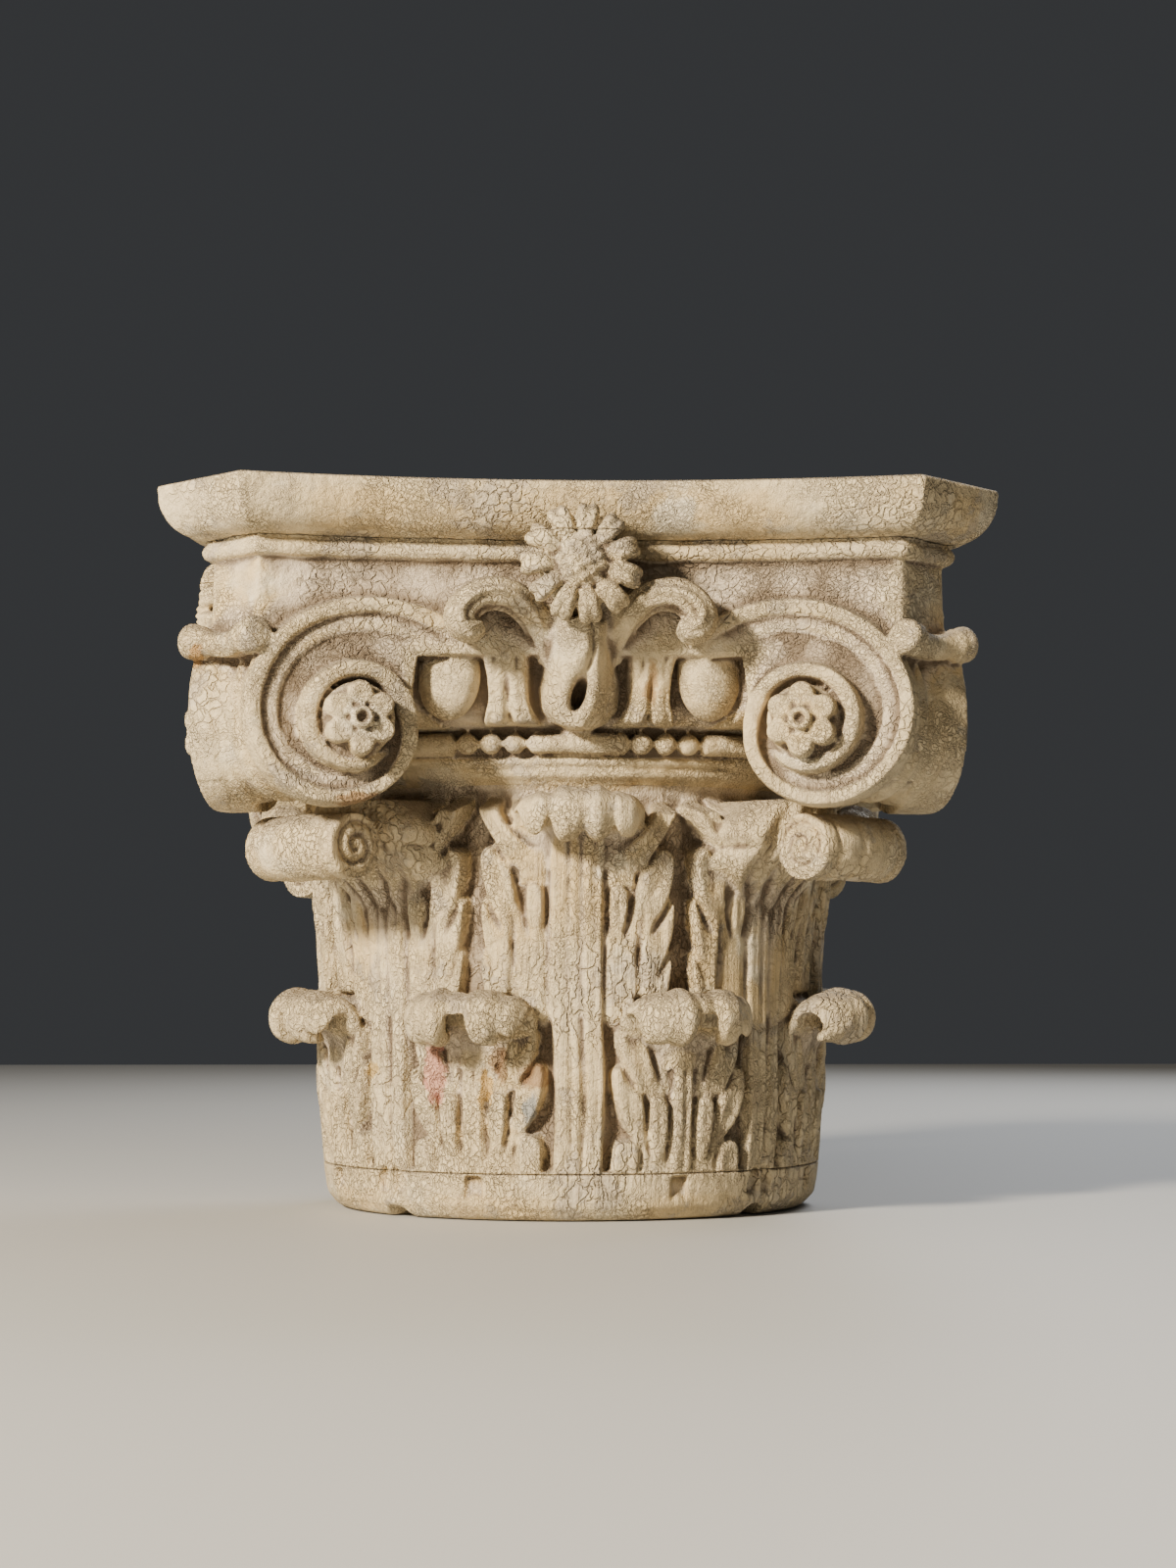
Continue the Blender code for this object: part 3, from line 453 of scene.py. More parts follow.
def volute_face():
    """The front left volute: a spiral ridge, with a lower band inside its outer turn."""
    deg = np.linspace(26, 392, 460)[:, None]
    share = np.linspace(0, 1, 130)[None]
    outer = curve(deg, SPIRAL_DEG, OUTER)
    outer = np.where(deg > 386, np.minimum(outer, 30.6), outer)
    rho = outer * share
    relief = 1.0 + 0 * deg * rho
    for turn in (0, 360):
        d = deg + turn
        ro, ri, top = curve(d, SPIRAL_DEG, OUTER), curve(d, SPIRAL_DEG, INNER), curve(d, SPIRAL_DEG, CREST)
        t = (rho - ri) / (ro - ri)
        live = smooth(700 - d, 0, 50)
        band = ridge_profile(t, 0.05 if turn == 0 else 0.16) * top * live
        if turn == 0:
            inner_band = top * 0.60 * smooth(rho, ri - 9.5, ri - 7.8) * smooth(ro - rho, 0, 1)
            inner_band = inner_band * smooth(345 - d, 0, 70)
            relief = np.maximum(relief, inner_band)
            band = band - 1.5 * np.exp(-((rho - ri + 0.8) / 0.8) ** 2)
        relief = np.maximum(relief, band)
    relief = np.where(rho < 18.3, np.minimum(relief, 12.5), relief)
    points = face(rho + 0 * deg, deg + 0 * rho, relief)
    back = face(rho + 0 * deg, deg + 0 * rho, -16 + 0 * relief)
    height = points[..., 2]
    cut = (height < SPIRAL_CUT) & (rho > 31.5) & (deg < 60)
    mask = ~(cut[:-1, :-1] | cut[1:, :-1] | cut[:-1, 1:] | cut[1:, 1:])
    return slab(points, back, mask)


def volute_band():
    """The solid between a volute and the one round the corner, hollowed and ribbed between them."""
    deg = np.linspace(28, 350, 150)
    edge = curve(deg, SPIRAL_DEG, OUTER)
    tail = np.array(((30.5, 375), (47, 408)))
    deg = np.concatenate((deg, tail[:, 1]))
    edge = np.concatenate((edge, tail[:, 0]))
    rings = []
    for across in np.linspace(0, 1, 61):
        side = abs(across - 0.5) * 2
        hollow = 0.15 * smooth(1 - side, 0.16, 0.62)
        ribs = 0.055 * np.exp(-((side - 0.44) / 0.065) ** 2) + 0.060 * np.exp(-(side / 0.095) ** 2)
        ribs = ribs - 0.012 * np.exp(-((side - 0.80) / 0.03) ** 2)
        front = face(edge * (1 - hollow + ribs), deg, 3.0 * smooth(side, 0.8, 1.0) + 0 * deg)
        other = front[:, (1, 0, 2)]
        rings.append(front * (1 - across) + other * across)
    return tube(rings)


def rosette():
    """Six hollowed petals round a small hollow button, on a low boss."""
    deg = np.linspace(0, 2 * np.pi, 30, endpoint=False)
    boss = ((18.4, 4.0), (18.4, 12.5), (16.5, 14.5), (11.0, 17.0), (9.0, 21.5), (1.0, 21.5))
    rings = [face(np.full(30, radius), np.degrees(deg), np.full(30, rise)) for radius, rise in boss]
    pieces = [tube(np.array(rings)[:, ::-1])]
    for k in range(6):
        a = np.radians(32 + 60 * k)
        rings = []
        for share, rise in ((1.0, 10.0), (1.0, 19.5), (0.93, 22.6), (0.78, 24.0), (0.5, 23.2), (0.15, 22.8)):
            u = 11.9 * np.cos(a) + 6.3 * share * np.cos(deg) * (1 + 0.06 * np.cos(deg - a))
            w = 11.9 * np.sin(a) + 6.3 * share * np.sin(deg) * (1 + 0.06 * np.cos(deg - a))
            rings.append(face(np.hypot(u, w), np.degrees(np.arctan2(w, u)), rise + 0 * u))
        pieces.append(tube(np.array(rings)[:, ::-1]))
    rings = []
    for radius, rise in ((5.5, 12.0), (5.5, 25.5), (4.7, 27.0), (3.5, 27.0), (2.4, 23.5), (1.0, 22.5)):
        rings.append(face(np.full(30, radius), np.degrees(deg), np.full(30, rise)))
    pieces.append(tube(np.array(rings)[:, ::-1]))
    return pieces


# Abacus

def plan(offset, n=70):
    """The abacus outline, offset outwards: four arcs that curve in, joined by cut corners."""
    radius = ABACUS_ARC - offset
    xs = np.linspace(100, 200, 2001)
    y = ABACUS_CENTRE - np.sqrt(radius ** 2 - xs ** 2)
    corner = xs[np.argmin(np.abs(xs + y - ABACUS_CORNER - offset * np.sqrt(2)))]
    x = np.linspace(-corner, corner, n)
    y = -(ABACUS_CENTRE - np.sqrt(radius ** 2 - x ** 2))
    side = np.stack((x, y), -1)
    cut = np.linspace(0, 1, 14)[1:-1, None]
    nxt = np.array(((-y[0]), x[0]))
    bevel = side[-1] * (1 - cut) + nxt * cut
    quarter = np.concatenate((side, bevel))
    out = [quarter]
    for _ in range(3):
        quarter = np.stack((-quarter[:, 1], quarter[:, 0]), -1)
        out.append(quarter)
    return np.concatenate(out)


def moulding(profile):
    """A solid with the abacus outline, offset outwards at each height of the profile."""
    rings = []
    for offset, z in profile:
        ring = plan(offset)
        rings.append(np.concatenate((ring, np.full((len(ring), 1), z)), 1))
    return tube(rings)


def abacus():
    """The hollow-sided slab over the volutes, up to the rounded fillet below the top board."""
    face_part = [(1.5 * (1 - t) ** 2, 282.5 + 44.5 * t) for t in np.linspace(0, 1, 14)]
    fillet = [(0.2, 327.2), (3.2, 327.8), (4.6, 329.0), (5.4, 331.0),
              (5.3, 333.2), (4.2, 335.2), (2.6, 336.0), (2.4, 337.8)]
    return moulding([(-8, 280.5), (0.5, 281.0)] + face_part + fillet + [(2.4, 345)])


def board():
    """The quarter-round top board, with a rounded upper edge."""
    turns = np.linspace(0, 1, 26) * np.pi / 2
    swell = [(3.0 + 21.6 * np.sin(a) ** 0.92, 338 + 23.0 * (1 - np.cos(a))) for a in turns]
    edge = [(25.0, 362.6), (24.8, 363.6), (24.0, 364.5), (22.8, HEIGHT)]
    return moulding([(2.6, 330.0), (2.6, 337.6)] + swell + edge)


# Egg and dart, beads, husk, flower, scrolls

def egg(angle):
    """One egg, at an angle from the middle of a side."""
    reach = 152.5 * squared(angle, 270)
    centre = polar(np.array(angle), np.array(reach), np.array(273.0))
    across = (np.cos(angle), np.sin(angle), 0)
    outward = (np.sin(angle), -np.cos(angle), 0)
    return ball(centre, (16.4, 23.0, 13.0), (across, (0, 0, 1), outward), n=44)


def dart(angle, lift=0.0):
    """The ribbed block between two eggs: three blunt ends above, a cleft middle, and feet that spread."""
    x = np.linspace(-1, 1, 61)[None]
    z = np.linspace(247.6, 284, 50)[:, None]
    up = (z - 247.6) / 36.4
    half = 12.4 - 1.8 * np.sin(np.clip(up, 0, 1) * np.pi) + 2.6 * smooth(1 - up, 0.66, 1)
    rise = 11.5 + lift + 3.0 * up - 3.6 * np.exp(-(x / 0.13) ** 2) * smooth(1 - up, 0.15, 0.5)
    rise = rise - 3.4 * np.exp(-((np.abs(x) - 0.44) / 0.07) ** 2) * smooth(up, 0.55, 0.8)
    rise = rise - 2.4 * np.exp(-((np.abs(x) - 0.62) / 0.08) ** 2) * smooth(0.75 - up, 0, 0.3)
    rise = rise - 3.0 * smooth(0.34 - np.abs(x) - 1.3 * up, 0, 0.2)
    rise = rise * (1 - np.abs(x) ** 10)
    a = angle + x * half / 155
    r = np.interp(z, GROUND[:, 0], GROUND[:, 1]) * squared(a, z)
    front = polar(a, r + rise, z + 0 * x)
    back = polar(a, r - 6 + 0 * x, z + 0 * x)
    return slab(front, back)


def husk():
    """The folded leaf in the middle of a side, wrapped round a slanting eye-shaped hollow."""
    x = np.linspace(-26, 26, 105)[None]
    z = np.linspace(245.5, 303, 116)[:, None]
    up = (z - 246) / 56
    half = curve(up, (-0.02, 0.04, 0.16, 0.36, 0.6, 0.8, 1.1), (5, 13, 19.5, 21, 19.5, 18.0, 17))
    t = x / half
    reach = curve(up, (0, 0.2, 0.5, 0.8, 1.0), (20, 25.0, 33.0, 43.0, 46.0))
    body = np.clip(1 - np.abs(t) ** 2.6, 0, 1) ** 0.6 * reach
    lean = x + 0.5 - 0.22 * (z - 262)
    swirl = np.hypot(lean, (z - 262) / 2.1)
    body = body - 17 * smooth(4.9 - swirl, 0, 2.8) + 1.8 * np.exp(-((swirl - 8.2) / 2.4) ** 2)
    fold = x - (3.4 + 3.0 * np.sin((z - 272) / 9.0))
    body = body - 4.4 * np.exp(-(fold / 1.4) ** 2) * smooth(z, 268, 276) * smooth(300 - z, 0, 5)
    inner = x + 12.5 - 3.0 * np.sin((z - 250) / 26)
    body = body - 1.5 * np.exp(-(inner / 1.1) ** 2) * smooth(z, 252, 260) * smooth(296 - z, 0, 8)
    body = body - 16 * smooth(z + 0.20 * np.abs(x) - 298.5 - 1.6 * np.sin(x * 0.55), 0, 3.5)
    y = -(143.0 + body)
    keep = np.abs(t) < 0.997
    mask = keep[:-1, :-1] & keep[1:, :-1] & keep[:-1, 1:] & keep[1:, 1:]
    front = np.stack((x + 0 * z, y, z + 0 * x), -1)
    back = np.stack((x + 0 * z, -136 + 0 * y, z + 0 * x), -1)
    return slab(front, back, mask)


def flower():
    """Eleven petals of two fat lobes each, bent back round a domed centre that stands forward."""
    pieces = []
    centre = np.array((0.0, -190.0, FLOWER_HEIGHT))
    count = 11
    for k in range(count):
        a = 2 * np.pi * k / count + 0.12
        size = 1 + 0.06 * np.sin(5.1 * k)
        radial = np.array((np.sin(a), 0, np.cos(a)))
        tang = np.array((np.cos(a), 0, -np.sin(a)))
        front = np.array((0, -1, 0))
        for hand in (-1, 1):
            t = np.linspace(0, 1, 24)[:, None]
            path = centre + radial * (14.5 + 12.8 * size * t) + tang * hand * (1.5 + 1.2 * t) + \
                front * (5.5 + 5.0 * np.sin(np.pi * (0.10 + 0.75 * t)) - 6.5 * t ** 3)
            wide = curve(t[:, 0], (0, 0.3, 0.75, 0.93, 1), (1.8, 2.6, 3.3, 3.0, 1.5)) * size
            thick = curve(t[:, 0], (0, 0.3, 0.75, 0.93, 1), (4.0, 4.6, 5.0, 4.2, 2.2))
            pieces.append(sweep(path, wide, thick, tuple(front), n=20))
    pieces.append(ball(centre + (0, 8, 0), (21, 9, 21), None, n=44))
    pieces.append(dome(centre + (0, -1.0, 0)))
    rim = np.linspace(0, 2 * np.pi, 48)[:-1]
    trunk = [np.stack((r * np.sin(rim), np.full(47, y), FLOWER_HEIGHT + r * np.cos(rim)), -1)
             for y, r in ((-150, 21), (-170, 19), (-182, 17))]
    pieces.append(tube(trunk[::-1]))
    return pieces


def dome(centre):
    """The flower's middle: a flattened ball with crossing cuts."""
    lat = np.linspace(0, np.pi / 2, 34)[:, None]
    lon = np.linspace(0, 2 * np.pi, 96, endpoint=False)[None]
    x = 14.6 * np.sin(lat) * np.cos(lon)
    z = 14.6 * np.sin(lat) * np.sin(lon)
    cut = np.maximum(np.exp(-((((x + 0.55 * z) / 6.6 + 0.5) % 1 - 0.5) * 6.6 / 1.15) ** 2),
                     np.exp(-((((z - 0.62 * x) / 5.8 + 0.5) % 1 - 0.5) * 5.8 / 1.15) ** 2))
    fore = 17.5 * np.cos(lat) ** 0.62 - 3.0 * cut * smooth(np.cos(lat), 0.05, 0.35) + 0 * lon
    skirt = np.stack((x, -fore, z), -1) + centre
    low = skirt[-1:] + np.array((0, 9, 0))
    return tube(np.concatenate((skirt[1:], low))[:, ::-1])


def side_scroll():
    """The leaf that springs from the stem beside the flower and rolls over, with grooves along the roll."""
    path = spline((
        (13, -158, 279), (17, -162, 290), (24, -170, 301), (35, -179, 308.5), (48, -183, 308.5),
        (57, -183, 302), (58.5, -183, 295), (53.5, -182.5, 291.5), (48.5, -182, 294)), 80)
    t = np.linspace(0, 1, 80)
    ra = curve(t, (0, 0.2, 0.45, 0.7, 0.88, 1), (7.5, 7.8, 7.8, 8.2, 6.6, 3.6))
    rb = curve(t, (0, 0.2, 0.45, 0.7, 0.88, 1), (5, 9, 15.0, 16.0, 13.0, 9))
    main = sweep(path, ra, rb, (0, 1, 0), n=64, flute=0.075, flutes=8)
    trunk = []
    levels = ((262, 13, 142), (274, 17, 148), (283, 20, 160), (291, 22, 166), (299, 24, 166), (306, 23, 166))
    for z, half, out in levels:
        u = np.linspace(0, 2 * np.pi, 40, endpoint=False)
        trunk.append(np.stack((half * np.cos(u), -out + 9.5 * np.sin(u), z + 0 * u), -1))
    return [main, tube(trunk)]


def corner_roll():
    """The little scroll across the corner above the volutes."""
    mid = np.array((-1, -1, 0)) / np.sqrt(2)
    along = np.array((1, -1, 0)) / np.sqrt(2)
    up = np.array((0, 0, 1))
    t = np.linspace(-1, 1, 60)
    place = t[:, None]
    path = mid * (246.5 + 1.5 * place ** 2) + along * 27 * place + up * (285.5 + 3.2 * place ** 2)
    radius = curve(np.abs(t), (0, 0.3, 0.52, 0.66, 0.70, 0.76, 0.93, 1.0),
                   (5.4, 5.8, 7.2, 9.4, 7.6, 9.0, 9.2, 7.2))
    roll = sweep(path, radius, radius, (0, 0, 1), n=28)
    spine = ((196, 282), (215, 284), (238, 284), (248, 283))
    stalk = spline([tuple(mid * r + up * z) for r, z in spine], 20)
    return [roll, sweep(stalk, np.linspace(5.5, 5.0, 20), np.linspace(22, 16, 20), tuple(along), n=24)]


def beads():
    """The beads and reels of one side, as a row of balls between round bars."""
    for deg in (13.0, 17.9, 22.7):
        for hand in (-1, 1):
            a = np.radians(deg) * hand
            out = np.array(140.6 * squared(a, BEAD_HEIGHT))
            yield ball(polar(np.array(a), out, np.array(BEAD_HEIGHT)), (5.7, 5.7, 5.7))
    for lo, hi in ((-10.6, 10.6), (25.3, 40.0), (-40.0, -25.3)):
        a = np.radians(np.linspace(lo, hi, 40))
        ends = np.minimum(1, np.minimum(np.arange(40), np.arange(40)[::-1]) * 0.35 + 0.35)
        path = polar(a, 140.4 * squared(a, BEAD_HEIGHT), np.full(40, BEAD_HEIGHT))
        yield sweep(path, 5.4 * ends, 5.4 * ends, (0, 0, 1), n=24)


def build_clay():
    """Puts every carved piece into the clay."""
    add(bell())
    add(abacus())
    add(board())
    all_sides(volute_face(), True)
    all_sides(volute_band())
    for piece in rosette():
        all_sides(piece, True)
    all_sides(husk())
    for piece in flower() + corner_roll():
        all_sides(piece)
    for piece in side_scroll():
        all_sides(piece, True)
    all_sides(egg(-np.radians(23.5)), True)
    all_sides(dart(-np.radians(12.8)), True)
    all_sides(dart(-np.radians(32.0), 3.5), True)
    for piece in beads():
        all_sides(piece)
    for k in range(8):
        a = k * np.pi / 4
        if k % 2:
            add(bracket(), a)
            add(corner_scroll(), a)
        else:
            add(curl(176, 157.5, 217, 11.5, 33, 7.5, 9, 0.5, TOP_LOBES, lift=-3), a, mirror=k % 4 == 2)
        add(curl(76, 156.0, 117, 12.0, 34, 8.5, 12, 0.3, LOW_LOBES, lift=-3), a + np.pi / 8)


# Mesh work

def write(mesh, points):
    """Places the points of a mesh, from millimetres."""
    mesh.vertices.foreach_set("co", (points * MM).astype(np.float32).ravel())


def mesh_object(name, points, quads, tris):
    """A new object from points and faces."""
    mesh = bpy.data.meshes.new(name)
    mesh.vertices.add(len(points))
    write(mesh, points)
    loops = np.concatenate((quads.ravel(), tris.ravel())).astype(np.int32)
    quad_starts = np.arange(len(quads)) * 4
    tri_starts = len(quads) * 4 + np.arange(len(tris)) * 3
    starts = np.concatenate((quad_starts, tri_starts)).astype(np.int32)
    mesh.loops.add(len(loops))
    mesh.loops.foreach_set("vertex_index", loops)
    mesh.polygons.add(len(starts))
    mesh.polygons.foreach_set("loop_start", starts)
    mesh.update(calc_edges=True)
    mesh.validate()
    obj = bpy.data.objects.new(name, mesh)
    bpy.context.scene.collection.objects.link(obj)
    return obj


def applied(obj):
    """The object's mesh with its modifiers in it."""
    graph = bpy.context.evaluated_depsgraph_get()
    mesh = bpy.data.meshes.new_from_object(obj.evaluated_get(graph))
    obj.modifiers.clear()
    old = obj.data
    obj.data = mesh
    bpy.data.meshes.remove(old)
    return obj


def read(mesh):
    """The points of a mesh, in millimetres."""
    points = np.empty(len(mesh.vertices) * 3, np.float32)
    mesh.vertices.foreach_get("co", points)
    return points.reshape(-1, 3).astype(float) / MM


def edges_of(mesh):
    edges = np.empty(len(mesh.edges) * 2, np.int32)
    mesh.edges.foreach_get("vertices", edges)
    return edges.reshape(-1, 2)


def normals_of(mesh):
    normals = np.empty(len(mesh.vertices) * 3, np.float32)
    mesh.vertices.foreach_get("normal", normals)
    return normals.reshape(-1, 3).astype(float)


def sides_of(quads):
    """The four sides of each quad, as pairs of points."""
    return np.concatenate((quads[:, (0, 1)], quads[:, (1, 2)], quads[:, (2, 3)], quads[:, (3, 0)]))


def relax(values, edges, count, rate):
    """Draws each point's value towards the mean of its neighbours, count times over."""
    n = len(values)
    a, b = edges[:, 0], edges[:, 1]
    number = np.bincount(a, minlength=n) + np.bincount(b, minlength=n)
    number = np.maximum(number, 1)
    values = values.copy()
    for _ in range(count):
        if values.ndim == 1:
            total = np.bincount(a, values[b], n) + np.bincount(b, values[a], n)
            values += rate * (total / number - values)
        else:
            for k in range(values.shape[1]):
                total = np.bincount(a, values[b, k], n) + np.bincount(b, values[a, k], n)
                values[:, k] += rate * (total / number - values[:, k])
    return values


def fuse():
    """Fuses all the clay into one closed mesh."""
    count, all_points, all_quads, all_tris = 0, [], [], []
    for points, quads, tris in clay:
        all_points.append(points)
        all_quads.append(quads + count)
        all_tris.append(tris + count)
        count += len(points)
    obj = mesh_object("clay", np.concatenate(all_points), np.concatenate(all_quads), np.concatenate(all_tris))
    remesh = obj.modifiers.new("Fuse", "REMESH")
    remesh.mode = "VOXEL"
    remesh.voxel_size = VOXEL * 1
    return applied(obj)


def carve_by_hand(obj):
    """Softens the fused surface and gives it the small waves that gouges leave."""
    mesh = obj.data
    p = read(mesh)
    edges = edges_of(mesh)
    p = relax(p, edges, 2, 0.5)
    write(mesh, p)
    mesh.update()
    calm = smooth(p[:, 2], 1.0, 6.0) * smooth(364.2 - p[:, 2], 0, 3)
    push = 0.30 * waves(p, 22, 1) + 0.09 * waves(p, 7, 2)
    p = p + normals_of(mesh) * (push * calm)[:, None]
    p = np.clip(p, (-REACH, -REACH, 0.0), (REACH, REACH, HEIGHT))
    write(mesh, p)
    mesh.update()
    return obj


def split_layers(obj):
    """Parts the fused carving at its two joints, each with a narrow groove, and at the top of the bell."""
    mesh = obj.data
    p = read(mesh)
    quads = np.empty(len(mesh.loops), np.int32)
    mesh.loops.foreach_get("vertex_index", quads)
    quads = quads.reshape(-1, 4)
    middle = p[quads].mean(1)
    bounds = (("base_ring", -1, JOINT_LOW), ("bell", JOINT_LOW, BELL_TOP),
              ("head", BELL_TOP, JOINT_HIGH), ("top_board", JOINT_HIGH, 400))
    made = {}
    for name, low, high in bounds:
        inside = (middle[:, 2] >= low) & (middle[:, 2] < high)
        use, index = np.unique(quads[inside], return_inverse=True)
        q = index.reshape(-1, 4)
        pts = p[use].copy()
        pairs = np.sort(sides_of(q), 1)
        keys, number = np.unique(pairs[:, 0].astype(np.int64) * len(pts) + pairs[:, 1], return_counts=True)
        rim = keys[number == 1]
        rim_verts = np.unique(np.concatenate((rim // len(pts), rim % len(pts))))
        tris = []
        for plane in (low, high):
            if not 0 < plane < 390:
                continue
            ring = rim_verts[np.abs(pts[rim_verts, 2] - plane) < 3]
            joint = plane != BELL_TOP
            sign = 1 if plane == low else -1
            pts[ring, 2] = plane + (JOINT_HALF * sign if joint else 0)
            if joint:
                out = pts[ring, :2]
                far = np.abs(out).max(1) > 176
                near_axis = np.abs(out).min(1) < 34
                pull = np.where(far & near_axis, FLOWER_GROOVE, GROOVE)
                pts[ring, :2] = out * (1 - pull / np.linalg.norm(out, axis=1))[:, None]
                centre = len(pts)
                pts = np.concatenate((pts, [[0, 0, plane + JOINT_HALF * sign]]))
                on_ring = np.zeros(len(pts), bool)
                on_ring[ring] = True
                forward = sides_of(q)
                key = np.sort(forward, 1)
                key = key[:, 0].astype(np.int64) * centre + key[:, 1]
                lone = np.isin(key, rim)
                edge = forward[lone]
                edge = edge[on_ring[edge].all(1)]
                tris.append(np.stack((edge[:, 1], edge[:, 0], np.full(len(edge), centre)), -1))
        tris = np.concatenate(tris) if tris else np.zeros((0, 3), int)
        made[name] = mesh_object(name + "_carving", pts, q, tris)
    bpy.data.objects.remove(obj, do_unlink=True)
    return made


def thin(obj, triangles):
    """Merges facets down to about the given number of triangles."""
    mesh = obj.data
    now = sum(len(f.vertices) - 2 for f in mesh.polygons)
    if now > triangles:
        step = obj.modifiers.new("Thin", "DECIMATE")
        step.ratio = triangles / now
        applied(obj)
    return obj


def mark_sunk_and_raised(obj):
    """Stores how sunk (0) or raised (1) each point lies, at a fine and a broad scale. The fine one sets where
    the paint darkens the crevices with painted shade and dirt.
    """
    mesh = obj.data
    p = read(mesh)
    edges = edges_of(mesh)
    normals = normals_of(mesh)
    for name, rounds, gain in (("fine", 6, 0.55), ("broad", 40, 0.16)):
        soft = relax(p, edges, rounds, 0.6)
        height = ((p - soft) * normals).sum(1)
        height = relax(height, edges, 2, 0.5)
        value = np.clip(0.5 + height * gain, 0, 1).astype(np.float32)
        layer = mesh.attributes.new(name, "FLOAT", "POINT")
        layer.data.foreach_set("value", value)
    mesh.polygons.foreach_set("use_smooth", np.ones(len(mesh.polygons), bool))
    mesh.update()


# Paint

def node(tree, kind, inputs=None, **settings):
    """A new shader node, with values or other nodes' sockets as its inputs."""
    made = tree.nodes.new(kind)
    for key, value in settings.items():
        setattr(made, key, value)
    for key, value in (inputs or {}).items():
        if isinstance(value, bpy.types.NodeSocket):
            tree.links.new(value, made.inputs[key])
        else:
            made.inputs[key].default_value = value
    return made


def math_node(tree, operation, a, b):
    return node(tree, "ShaderNodeMath", {0: a, 1: b}, operation=operation).outputs[0]


def times(tree, a, b):
    return math_node(tree, "MULTIPLY", a, b)


def vector_math(tree, operation, a, b):
    return node(tree, "ShaderNodeVectorMath", {0: a, 1: b}, operation=operation).outputs[0]


def mix(tree, factor, a, b):
    """Colour a where the factor is 0, colour b where it is 1."""
    made = node(tree, "ShaderNodeMix", {0: factor, 6: a, 7: b}, data_type="RGBA")
    return made.outputs[2]


def ramp(tree, value, low, high):
    """A soft step from 0 at low to 1 at high."""
    inputs = {0: value, 1: low, 2: high, 3: 0.0, 4: 1.0}
    return node(tree, "ShaderNodeMapRange", inputs, interpolation_type="SMOOTHSTEP").outputs[0]


CREAM = (0.69, 0.52, 0.27, 1)
LIGHT_CREAM = (0.76, 0.63, 0.40, 1)
FRESH_CREAM = (0.79, 0.69, 0.49, 1)
HOLLOW_PAINT = (0.73, 0.61, 0.45, 1)
YELLOWED_PAINT = (0.72, 0.59, 0.37, 1)
WORN_PAINT = (0.47, 0.41, 0.32, 1)
GRIME = (0.40, 0.32, 0.22, 1)
STREAKS = (0.42, 0.31, 0.20, 1)
CRACKS = (0.26, 0.19, 0.12, 1)
# Painted shade and dirt: the near-black brown that the finely sunk places (crevices, creases, undercuts) take
# on
CREVICE_DIRT_AND_SHADE = (0.17, 0.12, 0.075, 1)
DUST = (0.27, 0.22, 0.16, 1)


# Local stains on the paint: place (x, y, z), half width, half height, colour
STAINS = (
    (-72, -121, 75, 6, 19, (0.62, 0.27, 0.20, 1)),
    (-47, -132, 66, 4, 12, (0.58, 0.36, 0.10, 1)),
    (-39, -137, 79, 5, 11, (0.22, 0.12, 0.05, 1)),
    (-21, -139, 72, 8, 8, (0.26, 0.14, 0.06, 1)),
    (-24, -138, 57, 4, 8, (0.25, 0.28, 0.30, 1)),
    (-105, -97, 74, 4, 5, (0.52, 0.34, 0.10, 1)),
    (-105, -182, 208, 18, 5, (0.24, 0.12, 0.04, 1)),
    (36, -163, 268, 4, 12, (0.36, 0.22, 0.09, 1)),
    (-190, -180, 279, 5, 5, (0.42, 0.22, 0.06, 1)),
)


